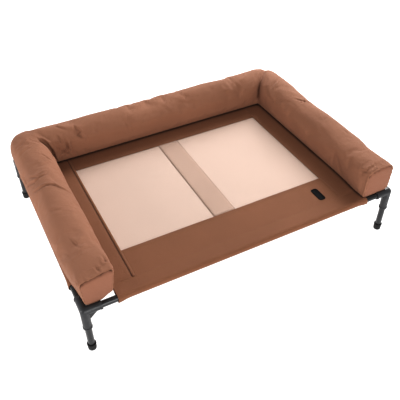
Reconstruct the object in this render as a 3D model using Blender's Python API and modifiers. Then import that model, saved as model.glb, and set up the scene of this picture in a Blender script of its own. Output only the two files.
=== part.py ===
"""Raised dog sofa: a push-fit tube frame, a sewn sling with an airy centre, and a stuffed bolster
on three sides that lifts off. Metres, +Z up, X along the length, the open front towards -Y.
The origin is on the floor under the middle of the frame."""

import math

import bmesh
import bpy
from mathutils import Matrix, Vector

# Gap left between pieces that touch
FIT = 0.0003

# Tube frame
LENGTH = 1.066  # between the axes of the side rails
WIDTH = 0.756  # between the axes of the front and back rails
RAIL_HEIGHT = 0.172  # from the floor to the axes of the rails
TUBE_RADIUS = 0.010
TUBE_WALL = 0.0012

# Corner connectors
SOCKET_WALL = 0.0027
SOCKET_DRAFT = 0.0003  # the sockets are this much slimmer at the mouth
ARM_REACH = 0.050  # from the corner's axis to the mouth of a rail socket
POST_REACH = 0.072  # from the rails' axes down to the mouth of the leg socket
TUBE_STOP = 0.004  # each socket bore ends this far outside the tubes that cross it
RING_PROUD = 0.0012
RING_LENGTH = 0.0065
RING_CHAMFER = 0.0007
WEB_THICKNESS = 0.0050
WEB_OUT = 0.040  # the large web's length along the rail socket
WEB_DOWN = 0.039
WEB_SINK = 0.0015  # how deep a web's edge starts inside the socket
COVE_RADIUS = 0.016  # the small web's hollow edge

# Foot caps
FOOT_HEIGHT = 0.0245
FOOT_WALL = 0.0026
FOOT_FLOOR = 0.005
FOOT_ROUND = 0.0035
FOOT_DRAFT = 0.0006
FOOT_RIM = 0.0006
FOOT_RIM_HEIGHT = 0.003

# Sling
CLOTH = 0.0010
SLING_DROP = 0.0055  # the mesh lies this far below the tops of the rails
SLEEVE_END = 0.0955  # from the corner's axis to the end of each sleeve
SEAM_INSET = 0.046  # from the rail's axis to the row of stitches that closes the sleeve
TONGUE = 0.012  # the sleeve's turned-under edge past the stitches
FRONT_BAND = 0.1564  # from the rail's axis to the band's inner edge
BACK_BAND = 0.1662
SIDE_BAND = 0.168
LAP = 0.014  # how far the mesh runs under the bands
HEM = 0.010  # the mesh's side edges are folded double
STRIP_WIDTH = 0.080
STRIP_SHIFT = -0.007  # the strip sits a little left of the middle
STRIP_LAP = 0.012
PATCH_LENGTH = 0.058
PATCH_WIDTH = 0.025
PATCH_CORNER = 0.009
PATCH_THICKNESS = 0.0012
PATCH_FROM_BAND = 0.054  # from the right band's edge to the middle of the patch
PATCH_FROM_RAIL = 0.089

# Bolster
BOLSTER_WIDTH = 0.115
BOLSTER_HEIGHT = 0.113
SIDE_OVERHANG = 0.012  # how far the bolster reaches past the side rails' axes
BACK_OVERHANG = 0.017
END_SETBACK = 0.006  # from the front rail's axis back to the bolster's end faces
END_LEAN = 0.010  # the end faces lean forwards at the top
LEAN_FADE = 0.5  # share of a side run over which the lean dies out
MID_HEIGHT = 0.5  # the share of the height that the lean turns about
END_PANEL = 0.0015
END_CROWN = 0.0025
END_DOME = (  # scale of the end panel's outline, share of its crown
    (1.00, 0.0),
    (0.86, 0.6),
    (0.50, 0.95),
)
CORNER_RADIUS = 0.070  # in plan, where the side runs turn into the back run
WAIST = 0.45  # height of the widest line, as a share of the bolster's height
BASE_FLAT = 0.0020  # how much of the round underside is pressed flat
TOP_POWER = 2.5  # 2 is an ellipse, and more is squarer
BASE_POWER = 4.6
RING_POINTS = 16  # of the bolster's coarse cage
SIDE_RINGS = (  # share of the way to the mitre, height factor, each side drawn in, base lifted
    (0.000, 0.920, 0.0070, 0.0060),
    (0.010, 0.960, 0.0030, 0.0030),
    (0.030, 0.990, 0.0008, 0.0008),
    (0.080, 1.000, 0.0, 0.0),
    (0.200, 0.995, 0.0010, 0.0),
    (0.330, 1.010, -0.0008, 0.0),
    (0.470, 1.000, 0.0, 0.0),
    (0.600, 1.012, -0.0010, 0.0),
    (0.720, 1.000, 0.0005, 0.0),
    (0.820, 1.010, 0.0, 0.0),
    (0.900, 1.000, 0.0, 0.0),
    (0.955, 0.985, 0.0012, 0.0005),
    (0.985, 0.950, 0.0035, 0.0020),
    (1.000, 0.900, 0.0070, 0.0050),
)
BACK_RINGS = (  # from the middle to the mitre
    (0.000, 1.045, -0.0015, 0.0),
    (0.170, 1.040, -0.0015, 0.0),
    (0.340, 1.022, -0.0008, 0.0),
    (0.500, 1.012, 0.0, 0.0),
    (0.650, 1.000, 0.0, 0.0),
    (0.780, 1.006, 0.0, 0.0),
    (0.880, 1.000, 0.0, 0.0),
    (0.945, 0.985, 0.0012, 0.0005),
    (0.982, 0.950, 0.0035, 0.0020),
    (1.000, 0.900, 0.0070, 0.0050),
)

# Strips that hold the bolster down
TOUCH_THICKNESS = 0.0015
TOUCH_WIDTH = 0.025
TOUCH_FROM_SEAM = 0.005
TOUCH_SIDE_GAP = 0.030  # from the back run's inner side to the side strips' ends
TOUCH_BACK_GAP = 0.080  # from the side runs' inner sides to the back strip's ends

# Zip in the underside of the back run
ZIP_LENGTH = 0.420
ZIP_TAPE_WIDTH = 0.024
ZIP_TAPE = 0.0008
ZIP_DEPTH = 0.0080
ZIP_MARGIN = 0.0015
ZIP_NECK_WIDTH = 0.0012
ZIP_NECK = 0.0014
ZIP_BEAD_WIDTH = 0.0040
ZIP_BEAD = 0.0020
ZIP_END = 0.016  # bare tape past the end stops
ZIP_STOP = 0.002
ZIP_FROM_STRIP = 0.010  # from the back touch strip to the zip's slot
SLIDER_LENGTH = 0.011
SLIDER_WALL = 0.0012
TAB_LENGTH = 0.020
TAB_WIDTH = 0.0048
TAB_CORNER = 0.0016
TAB_THICKNESS = 0.0009
BRIDGE_LENGTH = 0.0032  # the bridge joins the tab to the slider
BRIDGE_WIDTH = 0.0024

# Collections
PARTS = "dog_sofa"
CUTTERS = "cutters"

# Facets round a full turn
TUBE_STEPS = 24
SOCKET_STEPS = 24
SLEEVE_STEPS = 12

# Worked out
SOCKET_BORE = TUBE_RADIUS + FIT
SOCKET_RADIUS = SOCKET_BORE + SOCKET_WALL
TUBE_END = TUBE_RADIUS + TUBE_STOP
RAIL_TOP = RAIL_HEIGHT + TUBE_RADIUS
LAYER = CLOTH + FIT
SLEEVE_RADIUS = TUBE_RADIUS + FIT
OUTER_X = LENGTH / 2 + SIDE_OVERHANG
OUTER_Y = WIDTH / 2 + BACK_OVERHANG
INNER_X = OUTER_X - BOLSTER_WIDTH
INNER_Y = OUTER_Y - BOLSTER_WIDTH
END_Y = -WIDTH / 2 + END_SETBACK
TURN_INSET = CORNER_RADIUS * (1 - math.sqrt(0.5))  # how far the round corner draws the mitre in
# Subdivision draws a ring of the cage in by this much, so the cage starts larger
CAGE_SWELL = 1 / (0.75 + 0.25 * math.cos(math.tau / RING_POINTS))
ZIP_Y = (WIDTH / 2 - SEAM_INSET - TOUCH_FROM_SEAM + ZIP_FROM_STRIP + ZIP_MARGIN
         + ZIP_TAPE_WIDTH / 2)
ZIP_REACH = ZIP_LENGTH / 2 - ZIP_END - ZIP_STOP - SLIDER_LENGTH / 2 - FIT
ZIP_START = -ZIP_REACH  # the slider slides from here to +ZIP_REACH
QUARTERS = {  # each corner's place and the quarter turns that aim its sockets
    "front_left": (-1, -1, 0),
    "front_right": (1, -1, 1),
    "back_right": (1, 1, 2),
    "back_left": (-1, 1, 3),
}

FINISHES = {  # colour, roughness, metallic
    "tube_paint": ((0.018, 0.020, 0.022), 0.38, 0.6),
    "corner_plastic": ((0.016, 0.018, 0.019), 0.48, 0.0),
    "foot_rubber": ((0.014, 0.015, 0.016), 0.70, 0.0),
    "sling_cloth": ((0.222, 0.096, 0.060), 0.78, 0.0),
    "mesh_cloth": ((0.745, 0.520, 0.400), 0.70, 0.0),
    "strip_cloth": ((0.560, 0.375, 0.285), 0.72, 0.0),
    "patch_rubber": ((0.010, 0.010, 0.010), 0.45, 0.0),
    "bolster_cloth": ((0.300, 0.135, 0.086), 0.80, 0.0),
    "end_cloth": ((0.330, 0.150, 0.095), 0.80, 0.0),
    "touch_strip": ((0.060, 0.032, 0.024), 0.90, 0.0),
    "zip_tape": ((0.110, 0.052, 0.036), 0.70, 0.0),
    "zip_metal": ((0.030, 0.030, 0.032), 0.35, 0.9),
}


def layer(number):
    """Height of the underside of one of the sling's layers: 0 is the mesh."""
    return RAIL_TOP + FIT - SLING_DROP + number * LAYER


BASE = layer(2) + CLOTH + 3 * FIT + 2 * TOUCH_THICKNESS  # the bolster's flat underside


def clear_scene():
    for obj in list(bpy.data.objects):
        bpy.data.objects.remove(obj, do_unlink=True)


def link_to(collection, obj):
    """Puts an object in a collection, which is made when it is first needed."""
    found = bpy.data.collections.get(collection)
    if not found:
        found = bpy.data.collections.new(collection)
        bpy.context.scene.collection.children.link(found)
    found.objects.link(obj)


def finish_material(name):
    made = bpy.data.materials.get(name)
    if made:
        return made
    colour, roughness, metallic = FINISHES[name]
    made = bpy.data.materials.new(name)
    made.use_nodes = True
    shader = made.node_tree.nodes["Principled BSDF"]
    shader.inputs["Base Color"].default_value = (*colour, 1.0)
    shader.inputs["Roughness"].default_value = roughness
    shader.inputs["Metallic"].default_value = metallic
    made.diffuse_color = (*colour, 1.0)
    return made


def add_piece(name, mesh, finish, place=Matrix(), smooth=None):
    """Puts a mesh in the scene as one named sub-part; smooth is the sharp angle in degrees."""
    obj = bpy.data.objects.new(name, mesh)
    obj.matrix_world = place
    link_to(PARTS, obj)
    mesh.materials.clear()
    mesh.materials.append(finish_material(finish))
    if smooth is not None:
        mesh.shade_smooth()
        mesh.set_sharp_from_angle(angle=math.radians(smooth))
    return obj


def add_cutter(name, mesh, place=Matrix()):
    obj = bpy.data.objects.new(name, mesh)
    obj.matrix_world = place
    obj.hide_render = True
    obj.display_type = "WIRE"
    link_to(CUTTERS, obj)
    return obj


def mesh_of(name, bm):
    mesh = bpy.data.meshes.new(name)
    bm.to_mesh(mesh)
    bm.free()
    return mesh


def box_mesh(name, low, high):
    """An axis-aligned block between two opposite corners."""
    bm = bmesh.new()
    bmesh.ops.create_cube(bm, size=1.0)
    low, high = Vector(low), Vector(high)
    size = high - low
    bmesh.ops.scale(bm, vec=size, verts=bm.verts)
    bmesh.ops.translate(bm, vec=(low + high) / 2, verts=bm.verts)
    return mesh_of(name, bm)


def plate_mesh(name, outline, thickness):
    """A flat outline in the XY plane, drawn up along Z by its thickness."""
    bm = bmesh.new()
    face = bm.faces.new([bm.verts.new((x, y, 0.0)) for x, y in outline])
    if face.normal.z > 0 or face.calc_area() == 0:
        face.normal_flip()
    drawn = bmesh.ops.extrude_face_region(bm, geom=[face], use_keep_orig=True)
    top = [v for v in drawn["geom"] if isinstance(v, bmesh.types.BMVert)]
    bmesh.ops.translate(bm, vec=(0, 0, thickness), verts=top)
    bmesh.ops.recalc_face_normals(bm, faces=bm.faces)
    return mesh_of(name, bm)


def profile_mesh(name, points, closed=True):
    """A turned shape's profile as loose edges in the XZ plane, for a Screw."""
    bm = bmesh.new()
    verts = [bm.verts.new((r, 0.0, z)) for r, z in points]
    for a, b in zip(verts, verts[1:]):
        bm.edges.new((a, b))
    if closed:
        bm.edges.new((verts[-1], verts[0]))
    return mesh_of(name, bm)


def turn(obj, steps):
    screw = obj.modifiers.new("turn", "SCREW")
    screw.angle = math.tau
    screw.steps = steps
    screw.render_steps = steps
    screw.use_merge_vertices = True
    screw.merge_threshold = 0.00001
    return screw


def evaluated_mesh(obj):
    """The mesh that an object's modifiers make of it."""
    graph = bpy.context.evaluated_depsgraph_get()
    return bpy.data.meshes.new_from_object(obj.evaluated_get(graph), depsgraph=graph)


def boolean(obj, other, operation):
    cut = obj.modifiers.new(other.name, "BOOLEAN")
    cut.operation = operation
    cut.object = other
    cut.solver = "EXACT"
    return cut


def arc(centre, radius, start, stop, steps):
    """Points on a circle, from one angle to another in degrees, both ends included."""
    angles = [math.radians(start + (stop - start) * i / steps) for i in range(steps + 1)]
    return [(centre[0] + radius * math.cos(a), centre[1] + radius * math.sin(a)) for a in angles]


def quarter_turn(x, y, z, quarters):
    return Matrix.Translation((x, y, z)) @ Matrix.Rotation(quarters * math.pi / 2, 4, "Z")


def rail_place(side):
    """Where a rail lies: its axis is local X and the middle of the sofa is towards local +Y."""
    quarters = ("front", "right", "back", "left").index(side)
    x = {"right": LENGTH / 2, "left": -LENGTH / 2}.get(side, 0.0)
    y = {"front": -WIDTH / 2, "back": WIDTH / 2}.get(side, 0.0)
    return quarter_turn(x, y, RAIL_HEIGHT, quarters)


def rail_length(side):
    """Between the axes of the two corners that a rail joins."""
    return LENGTH if side in ("front", "back") else WIDTH


def add_tube(name, start, end, place):
    """A hollow tube along local Z, open at both ends."""
    inner = TUBE_RADIUS - TUBE_WALL
    profile = [(TUBE_RADIUS, end), (TUBE_RADIUS, start), (inner, start), (inner, end)]
    tube = add_piece(name, profile_mesh(name, profile), "tube_paint", place, smooth=40)
    turn(tube, TUBE_STEPS)


def build_rails():
    lay_down = Matrix.Rotation(math.pi / 2, 4, "Y")
    for side in ("front", "back", "left", "right"):
        half = rail_length(side) / 2 - TUBE_END - FIT
        add_tube(f"{side}_rail", -half, half, rail_place(side) @ lay_down)


def build_legs():
    for name, (sx, sy, _) in QUARTERS.items():
        place = Matrix.Translation((sx * LENGTH / 2, sy * WIDTH / 2, 0.0))
        add_tube(f"leg_{name}", FOOT_FLOOR + FIT, RAIL_HEIGHT - TUBE_END - FIT, place)


def socket_profile(reach, start):
    """One socket's outside, from its root to its mouth, with the thick ring at the mouth."""
    mouth = SOCKET_RADIUS - SOCKET_DRAFT
    ring = mouth + RING_PROUD
    return start + [
        (mouth, reach - RING_LENGTH),
        (ring, reach - RING_LENGTH + RING_CHAMFER),
        (ring, reach - RING_CHAMFER),
        (ring - RING_CHAMFER, reach),
        (0.0, reach),
    ]


def web_outline():
    """The large web, in the plane of the rail socket and the post: x out, y down from the axis."""
    under = SOCKET_RADIUS - WEB_SINK
    return [(0, 0), (WEB_OUT, 0), (WEB_OUT, -under), (under, -WEB_DOWN), (0, -WEB_DOWN)]


def cove_outline():
    """The small web, with a hollow edge from the rail socket to the post."""
    far = SOCKET_RADIUS + COVE_RADIUS
    under = SOCKET_RADIUS - WEB_SINK
    hollow = arc((far, -far), COVE_RADIUS, 90, 180, 6)
    return [(0, 0), (far, 0), (far, -under)] + hollow + [(under, -far), (0, -far)]


def connector_mesh():
    """The three-way corner moulding: rail sockets towards +X and +Y, the leg socket towards -Z."""
    dome = arc((0, 0), SOCKET_RADIUS, 90, 0, 5)
    down = [(r, -z) for r, z in socket_profile(POST_REACH, [])]
    post = bpy.data.objects.new("post", profile_mesh("post", dome + down, closed=False))
    link_to(CUTTERS, post)
    turn(post, SOCKET_STEPS)

    upright = Matrix.Rotation(math.pi / 2, 4, "X")
    aim = {"x": Matrix.Rotation(math.pi / 2, 4, "Y"), "y": Matrix.Rotation(-math.pi / 2, 4, "X")}
    helpers = []
    for axis, turned in aim.items():
        profile = socket_profile(ARM_REACH, [(0.0, 0.0), (SOCKET_RADIUS, 0.0)])
        arm = add_cutter(f"arm_{axis}", profile_mesh("arm", profile[::-1], closed=False), turned)
        turn(arm, SOCKET_STEPS)
        helpers.append((arm, "UNION"))
    shift = Matrix.Translation((0, 0, -WEB_THICKNESS / 2))
    web = plate_mesh("web", web_outline(), WEB_THICKNESS)
    helpers.append((add_cutter("web", web, upright @ shift), "UNION"))
    cove = plate_mesh("cove", cove_outline(), WEB_THICKNESS)
    turned = Matrix.Rotation(math.pi / 2, 4, "Z") @ upright @ shift
    helpers.append((add_cutter("cove", cove, turned), "UNION"))
    bores = {"x": ARM_REACH, "y": ARM_REACH, "z": POST_REACH}
    aim["z"] = Matrix.Rotation(math.pi, 4, "X")
    for axis, reach in bores.items():
        bm = bmesh.new()
        length = reach - TUBE_END + RING_LENGTH
        middle = Matrix.Translation((0, 0, TUBE_END + length / 2))
        bmesh.ops.create_cone(bm, cap_ends=True, segments=SOCKET_STEPS, radius1=SOCKET_BORE,
                              radius2=SOCKET_BORE, depth=length, matrix=middle)
        helpers.append((add_cutter(f"bore_{axis}", mesh_of("bore", bm), aim[axis]), "DIFFERENCE"))
    for helper, operation in helpers:
        boolean(post, helper, operation)
    bpy.context.view_layer.update()
    mesh = evaluated_mesh(post)
    mesh.name = "corner"
    for obj in [post] + [helper for helper, _ in helpers]:
        bpy.data.objects.remove(obj, do_unlink=True)
    return mesh


def build_corners():
    mesh = connector_mesh()
    for name, (sx, sy, quarters) in QUARTERS.items():
        place = quarter_turn(sx * LENGTH / 2, sy * WIDTH / 2, RAIL_HEIGHT, quarters)
        add_piece(f"corner_{name}", mesh, "corner_plastic", place, smooth=35)


def build_feet():
    """Push-on caps: a blind bore for the leg, a rounded tread and a thin rim at the mouth."""
    bore = TUBE_RADIUS + FIT
    outer = bore + FOOT_WALL
    tread = outer - FOOT_DRAFT
    rim = outer + FOOT_RIM
    rounding = arc((tread - FOOT_ROUND, FOOT_ROUND), FOOT_ROUND, 0, -90, 4)
    profile = [
        (bore, FOOT_HEIGHT),
        (rim - FOOT_RIM, FOOT_HEIGHT),
        (rim, FOOT_HEIGHT - FOOT_RIM),
        (rim, FOOT_HEIGHT - FOOT_RIM_HEIGHT),
        (outer, FOOT_HEIGHT - FOOT_RIM_HEIGHT - FOOT_RIM),
    ]
    profile += rounding + [(0.0, 0.0)]
    profile = [(0.0, FOOT_FLOOR), (bore, FOOT_FLOOR)] + profile
    for name, (sx, sy, _) in QUARTERS.items():
        place = Matrix.Translation((sx * LENGTH / 2, sy * WIDTH / 2, 0.0))
        foot = profile_mesh(f"foot_{name}", profile, closed=False)
        turn(add_piece(f"foot_{name}", foot, "foot_rubber", place, smooth=35), TUBE_STEPS)


def sleeve_path(width, number):
    """One band seen along its rail: inner edge, stitches, round the tube, and back under.
    Points are (distance inwards from the rail's axis, height from it) of the cloth's tube side."""
    height = layer(number) - RAIL_HEIGHT
    under = height - FIT
    over_angle = math.degrees(math.atan2(height, SEAM_INSET))
    under_angle = math.degrees(math.atan2(under, SEAM_INSET))
    over_open = math.degrees(math.acos(SLEEVE_RADIUS / math.hypot(SEAM_INSET, height)))
    under_open = math.degrees(math.acos(SLEEVE_RADIUS / math.hypot(SEAM_INSET, under)))
    # The corners of a faceted sleeve lie further out, so that its flats clear the tube
    radius = SLEEVE_RADIUS / math.cos(math.pi / SLEEVE_STEPS / 2)
    wrap = arc((0, 0), radius, over_angle + over_open, under_angle - under_open + 360, SLEEVE_STEPS)
    return [(width, height), (SEAM_INSET, height)] + wrap + [
        (SEAM_INSET, under), (SEAM_INSET + TONGUE, under)]


def build_band(side, width, number, tab_edge=None):
    """A cloth band with its sleeve. A band with tabs runs on beside its neighbours' sleeves:
    tab_edge is how far from its rail's axis the tabs start."""
    name = f"{side}_band"
    path = sleeve_path(width, number)
    half = rail_length(side) / 2 - SLEEVE_END
    ends = [-half, half]
    if tab_edge:
        tab = rail_length(side) / 2 - SEAM_INSET
        ends = [-tab] + ends + [tab]
        path.insert(1, (tab_edge, path[0][1]))
    bm = bmesh.new()
    rows = [[bm.verts.new((x, d, z)) for d, z in path] for x in ends]
    for column, (near, far) in enumerate(zip(rows, rows[1:])):
        is_tab = tab_edge and column != 1
        for i in range(len(path) - 1):
            if is_tab and i > 0:
                break
            bm.faces.new((near[i], near[i + 1], far[i + 1], far[i]))
    loose = [v for v in bm.verts if not v.link_faces]
    bmesh.ops.delete(bm, geom=loose, context="VERTS")
    band = add_piece(name, mesh_of(name, bm), "sling_cloth", rail_place(side), smooth=40)
    solidify = band.modifiers.new("cloth", "SOLIDIFY")
    solidify.thickness = CLOTH
    solidify.offset = 1.0
    solidify.use_even_offset = True


def build_mesh_panels():
    """Two airy panels that meet under the centre strip, their side edges folded double."""
    front = -WIDTH / 2 + FRONT_BAND
    back = WIDTH / 2 - BACK_BAND
    edge = LENGTH / 2 - SIDE_BAND
    floor = layer(0)
    for side, sign in (("left", -1), ("right", 1)):
        name = f"mesh_{side}"
        inner = STRIP_SHIFT + sign * (STRIP_WIDTH / 2 - STRIP_LAP)
        outer = sign * (edge + LAP)
        low = (min(inner, outer), front - LAP, floor)
        high = (max(inner, outer), back + LAP, floor + CLOTH)
        panel = add_piece(name, box_mesh(name, low, high), "mesh_cloth")
        fold = sign * (edge + LAP - HEM)
        low = (min(fold, outer), front + FIT, floor + CLOTH / 2)
        high = (max(fold, outer), back - FIT, floor + LAYER + CLOTH)
        boolean(panel, add_cutter(f"{name}_hem", box_mesh("hem", low, high)), "UNION")
    low = (STRIP_SHIFT - STRIP_WIDTH / 2, front + FIT, layer(1))
    high = (STRIP_SHIFT + STRIP_WIDTH / 2, back - FIT, layer(1) + CLOTH)
    add_piece("centre_strip", box_mesh("centre_strip", low, high), "strip_cloth")


def rounded_rectangle(width, length, radius, steps=5):
    x, y = width / 2 - radius, length / 2 - radius
    outline = arc((x, y), radius, 0, 90, steps) + arc((-x, y), radius, 90, 180, steps)
    return outline + arc((-x, -y), radius, 180, 270, steps) + arc((x, -y), radius, 270, 360, steps)


def build_patch():
    outline = rounded_rectangle(PATCH_WIDTH, PATCH_LENGTH, PATCH_CORNER)
    x = LENGTH / 2 - SIDE_BAND - PATCH_FROM_BAND
    place = Matrix.Translation((x, -WIDTH / 2 + PATCH_FROM_RAIL, layer(1) + CLOTH + FIT))
    add_piece("patch", plate_mesh("patch", outline, PATCH_THICKNESS), "patch_rubber", place)


def section(points, swell=1.0):
    """The bolster's cross-section as (across from 0 to 1, height from 0 to 1) pairs: round above
    its widest line, fuller below it and pressed flat underneath."""
    shape = []
    sink = BASE_FLAT / BOLSTER_HEIGHT
    for i in range(points):
        angle = math.tau * (i + 0.5) / points
        c, s = math.cos(angle), math.sin(angle)
        power = TOP_POWER if s > 0 else BASE_POWER
        reach = (1 - WAIST) if s > 0 else (WAIST + sink)
        across = 0.5 + 0.5 * swell * math.copysign(abs(c) ** (2 / power), c)
        height = WAIST + swell * reach * math.copysign(abs(s) ** (2 / power), s)
        shape.append((across, max(height, 0.0)))
    return shape


def run_width(outer_run, corner):
    """A run's width where its outer side has got to outer_run: it narrows round the corner."""
    past = max(outer_run - (corner - CORNER_RADIUS), 0.0)
    return BOLSTER_WIDTH - (CORNER_RADIUS - math.sqrt(CORNER_RADIUS**2 - past**2))


def run_mesh(name, start, inner_end, rings, capped, mirrored=False):
    """The coarse cage of one stuffed run. It lies along +X from start to its mitre, with its inner
    side at Y 0 and its flat base at Z 0. A capped start is an end face."""
    bm = bmesh.new()
    crease = bm.edges.layers.float.new("crease_edge")
    made = []
    for share, tall, drawn, lift in rings:
        outer_run = start + share * (inner_end + BOLSTER_WIDTH - TURN_INSET - start)
        width = run_width(outer_run, inner_end + BOLSTER_WIDTH)
        ring = []
        for across, height in section(RING_POINTS, CAGE_SWELL):
            y = drawn + across * (width - 2 * drawn)
            mitre = inner_end + y / width * (BOLSTER_WIDTH - TURN_INSET) - FIT / math.sqrt(2)
            x = start + share * (mitre - start)
            if capped:
                x -= END_LEAN * (height - MID_HEIGHT) * max(1 - share / LEAN_FADE, 0)
            z = lift + height * (BOLSTER_HEIGHT * tall - lift)
            ring.append(bm.verts.new((x, -y if mirrored else y, z)))
        made.append(ring)
    for near, far in zip(made, made[1:]):
        for i in range(RING_POINTS):
            j = (i + 1) % RING_POINTS
            bm.faces.new((near[i], near[j], far[j], far[i]))
    for ring in [made[-1]] + ([made[0]] if capped else []):
        for edge in bm.faces.new(ring).edges:
            edge[crease] = 1.0
    bmesh.ops.recalc_face_normals(bm, faces=bm.faces)
    return mesh_of(name, bm)


def soften(obj):
    subdivision = obj.modifiers.new("soften", "SUBSURF")
    subdivision.levels = 1
    subdivision.render_levels = 1


def build_side_runs():
    start = END_Y + END_CROWN + END_PANEL + FIT
    for side, sign in (("left", -1), ("right", 1)):
        name = f"bolster_{side}"
        mesh = run_mesh(name, start, INNER_Y, SIDE_RINGS, capped=True, mirrored=sign > 0)
        place = quarter_turn(sign * INNER_X, 0, BASE, 1)
        soften(add_piece(name, mesh, "bolster_cloth", place, smooth=50))
        build_end_panel(side, place, start - FIT, sign > 0)


def build_end_panel(side, place, seat, mirrored):
    """The sewn end face: a thin crowned panel of the end ring's outline, leaning with it."""
    _, tall, drawn, lift = SIDE_RINGS[0]
    outline = section(2 * RING_POINTS)
    levels = [(1.0, 0.0)] + [(scale, END_PANEL + crown * END_CROWN) for scale, crown in END_DOME]
    bm = bmesh.new()
    rings = []
    for scale, out in levels:
        ring = []
        for across, height in outline:
            across = 0.5 + (across - 0.5) * scale
            height = MID_HEIGHT + (height - MID_HEIGHT) * scale
            y = drawn + across * (BOLSTER_WIDTH - 2 * drawn)
            z = lift + height * (BOLSTER_HEIGHT * tall - lift)
            x = seat - out - END_LEAN * (height - MID_HEIGHT)
            ring.append(bm.verts.new((x, -y if mirrored else y, z)))
        rings.append(ring)
    count = len(outline)
    for near, far in zip(rings, rings[1:]):
        for i in range(count):
            bm.faces.new((near[i], near[(i + 1) % count], far[(i + 1) % count], far[i]))
    bm.faces.new(rings[0])
    bm.faces.new(rings[-1])
    bmesh.ops.recalc_face_normals(bm, faces=bm.faces)
    name = f"end_panel_{side}"
    add_piece(name, mesh_of(name, bm), "end_cloth", place, smooth=50)


def build_back_run():
    """Half of the back run, mirrored in the middle, with a slot for the zip in its underside."""
    mesh = run_mesh("bolster_back", 0.0, INNER_X, BACK_RINGS, capped=False)
    place = Matrix.Translation((0, INNER_Y, BASE))
    back = add_piece("bolster_back", mesh, "bolster_cloth", place, smooth=50)
    mirror = back.modifiers.new("halves", "MIRROR")
    mirror.use_axis = (True, False, False)
    mirror.merge_threshold = 0.0001
    soften(back)
    half = ZIP_LENGTH / 2 + ZIP_MARGIN
    across = ZIP_TAPE_WIDTH / 2 + ZIP_MARGIN
    slot = box_mesh("zip_slot", (-half, ZIP_Y - across, BASE - ZIP_DEPTH),
                    (half, ZIP_Y + across, BASE + ZIP_DEPTH))
    boolean(back, add_cutter("zip_slot", slot), "DIFFERENCE")


def build_zip():
    """A tape with a narrow neck and a wider bead under it, and a slider whose lips hold the bead."""
    tape_top = BASE + ZIP_DEPTH - FIT
    tape_under = tape_top - ZIP_TAPE
    half = ZIP_LENGTH / 2
    low = (-half, ZIP_Y - ZIP_TAPE_WIDTH / 2, tape_under)
    high = (half, ZIP_Y + ZIP_TAPE_WIDTH / 2, tape_top)
    tape = add_piece("zip_tape", box_mesh("zip_tape", low, high), "zip_tape")
    half -= ZIP_END
    bead_top = tape_under - ZIP_NECK
    blocks = {
        "neck": (half, ZIP_NECK_WIDTH, bead_top - ZIP_BEAD / 2, tape_top - ZIP_TAPE / 2),
        "bead": (half, ZIP_BEAD_WIDTH, bead_top - ZIP_BEAD, bead_top),
    }
    for name, (reach, wide, under, over) in blocks.items():
        block = box_mesh(name, (-reach, ZIP_Y - wide / 2, under), (reach, ZIP_Y + wide / 2, over))
        boolean(tape, add_cutter(f"zip_{name}", block), "UNION")
    stop = ZIP_BEAD_WIDTH / 2 + SLIDER_WALL
    for name, sign in (("left", -1), ("right", 1)):
        x = sorted((sign * half, sign * (half - ZIP_STOP)))
        block = box_mesh("stop", (x[0], ZIP_Y - stop, bead_top - ZIP_BEAD - FIT),
                         (x[1], ZIP_Y + stop, tape_under - FIT))
        boolean(tape, add_cutter(f"zip_stop_{name}", block), "UNION")


def build_slider():
    """The slider at the zip's closed end. Its outline is drawn across the zip, then along it."""
    neck = ZIP_NECK_WIDTH / 2 + FIT
    bead = ZIP_BEAD_WIDTH / 2 + FIT
    wall = bead + SLIDER_WALL
    lip = -(ZIP_NECK - FIT)
    floor = -(ZIP_NECK + ZIP_BEAD + FIT)
    under = floor - SLIDER_WALL
    side = [(neck, -FIT), (wall, -FIT), (wall, under)]
    hollow = [(bead, floor), (bead, lip), (neck, lip)]
    outline = side + [(-y, z) for y, z in side[::-1]] + [(-y, z) for y, z in hollow[::-1]] + hollow
    channel = plate_mesh("zip_slider", outline, SLIDER_LENGTH)
    place = Matrix.Translation((ZIP_START, ZIP_Y, BASE + ZIP_DEPTH - FIT - ZIP_TAPE))
    stand = Matrix(((0, 0, 1, -SLIDER_LENGTH / 2), (1, 0, 0, 0), (0, 1, 0, 0), (0, 0, 0, 1)))
    channel.transform(stand)
    slider = add_piece("zip_slider", channel, "zip_metal", place)
    tab_top = under - FIT
    bridge = box_mesh("bridge", (-BRIDGE_LENGTH / 2, -BRIDGE_WIDTH / 2, tab_top - TAB_THICKNESS / 2),
                      (BRIDGE_LENGTH / 2, BRIDGE_WIDTH / 2, under + SLIDER_WALL / 2))
    tab = rounded_rectangle(TAB_LENGTH, TAB_WIDTH, TAB_CORNER, steps=3)
    tab_place = place @ Matrix.Translation((TAB_LENGTH / 2 - TAB_WIDTH / 2, 0, tab_top - TAB_THICKNESS))
    boolean(slider, add_cutter("slider_bridge", bridge, place), "UNION")
    boolean(slider, add_cutter("slider_tab", plate_mesh("tab", tab, TAB_THICKNESS), tab_place), "UNION")


def build_touch_strips():
    """Pairs of strips under the bolster: the loop strip is sewn to the sling, the hook strip to
    the bolster's flat base."""
    edge = SEAM_INSET + TOUCH_FROM_SEAM
    side_half = INNER_Y - TOUCH_SIDE_GAP
    halves = {"left": side_half, "right": side_half, "back": INNER_X - TOUCH_BACK_GAP}
    for side, half in halves.items():
        seat = layer(1 if side == "back" else 2) + CLOTH + FIT
        thickness = (BASE - FIT - seat - FIT) / 2
        for kind, low in (("loop", seat), ("hook", seat + thickness + FIT)):
            low -= RAIL_HEIGHT
            name = f"{kind}_strip_{side}"
            strip = box_mesh(name, (-half, edge, low), (half, edge + TOUCH_WIDTH, low + thickness))
            add_piece(name, strip, "touch_strip", rail_place(side))


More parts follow.
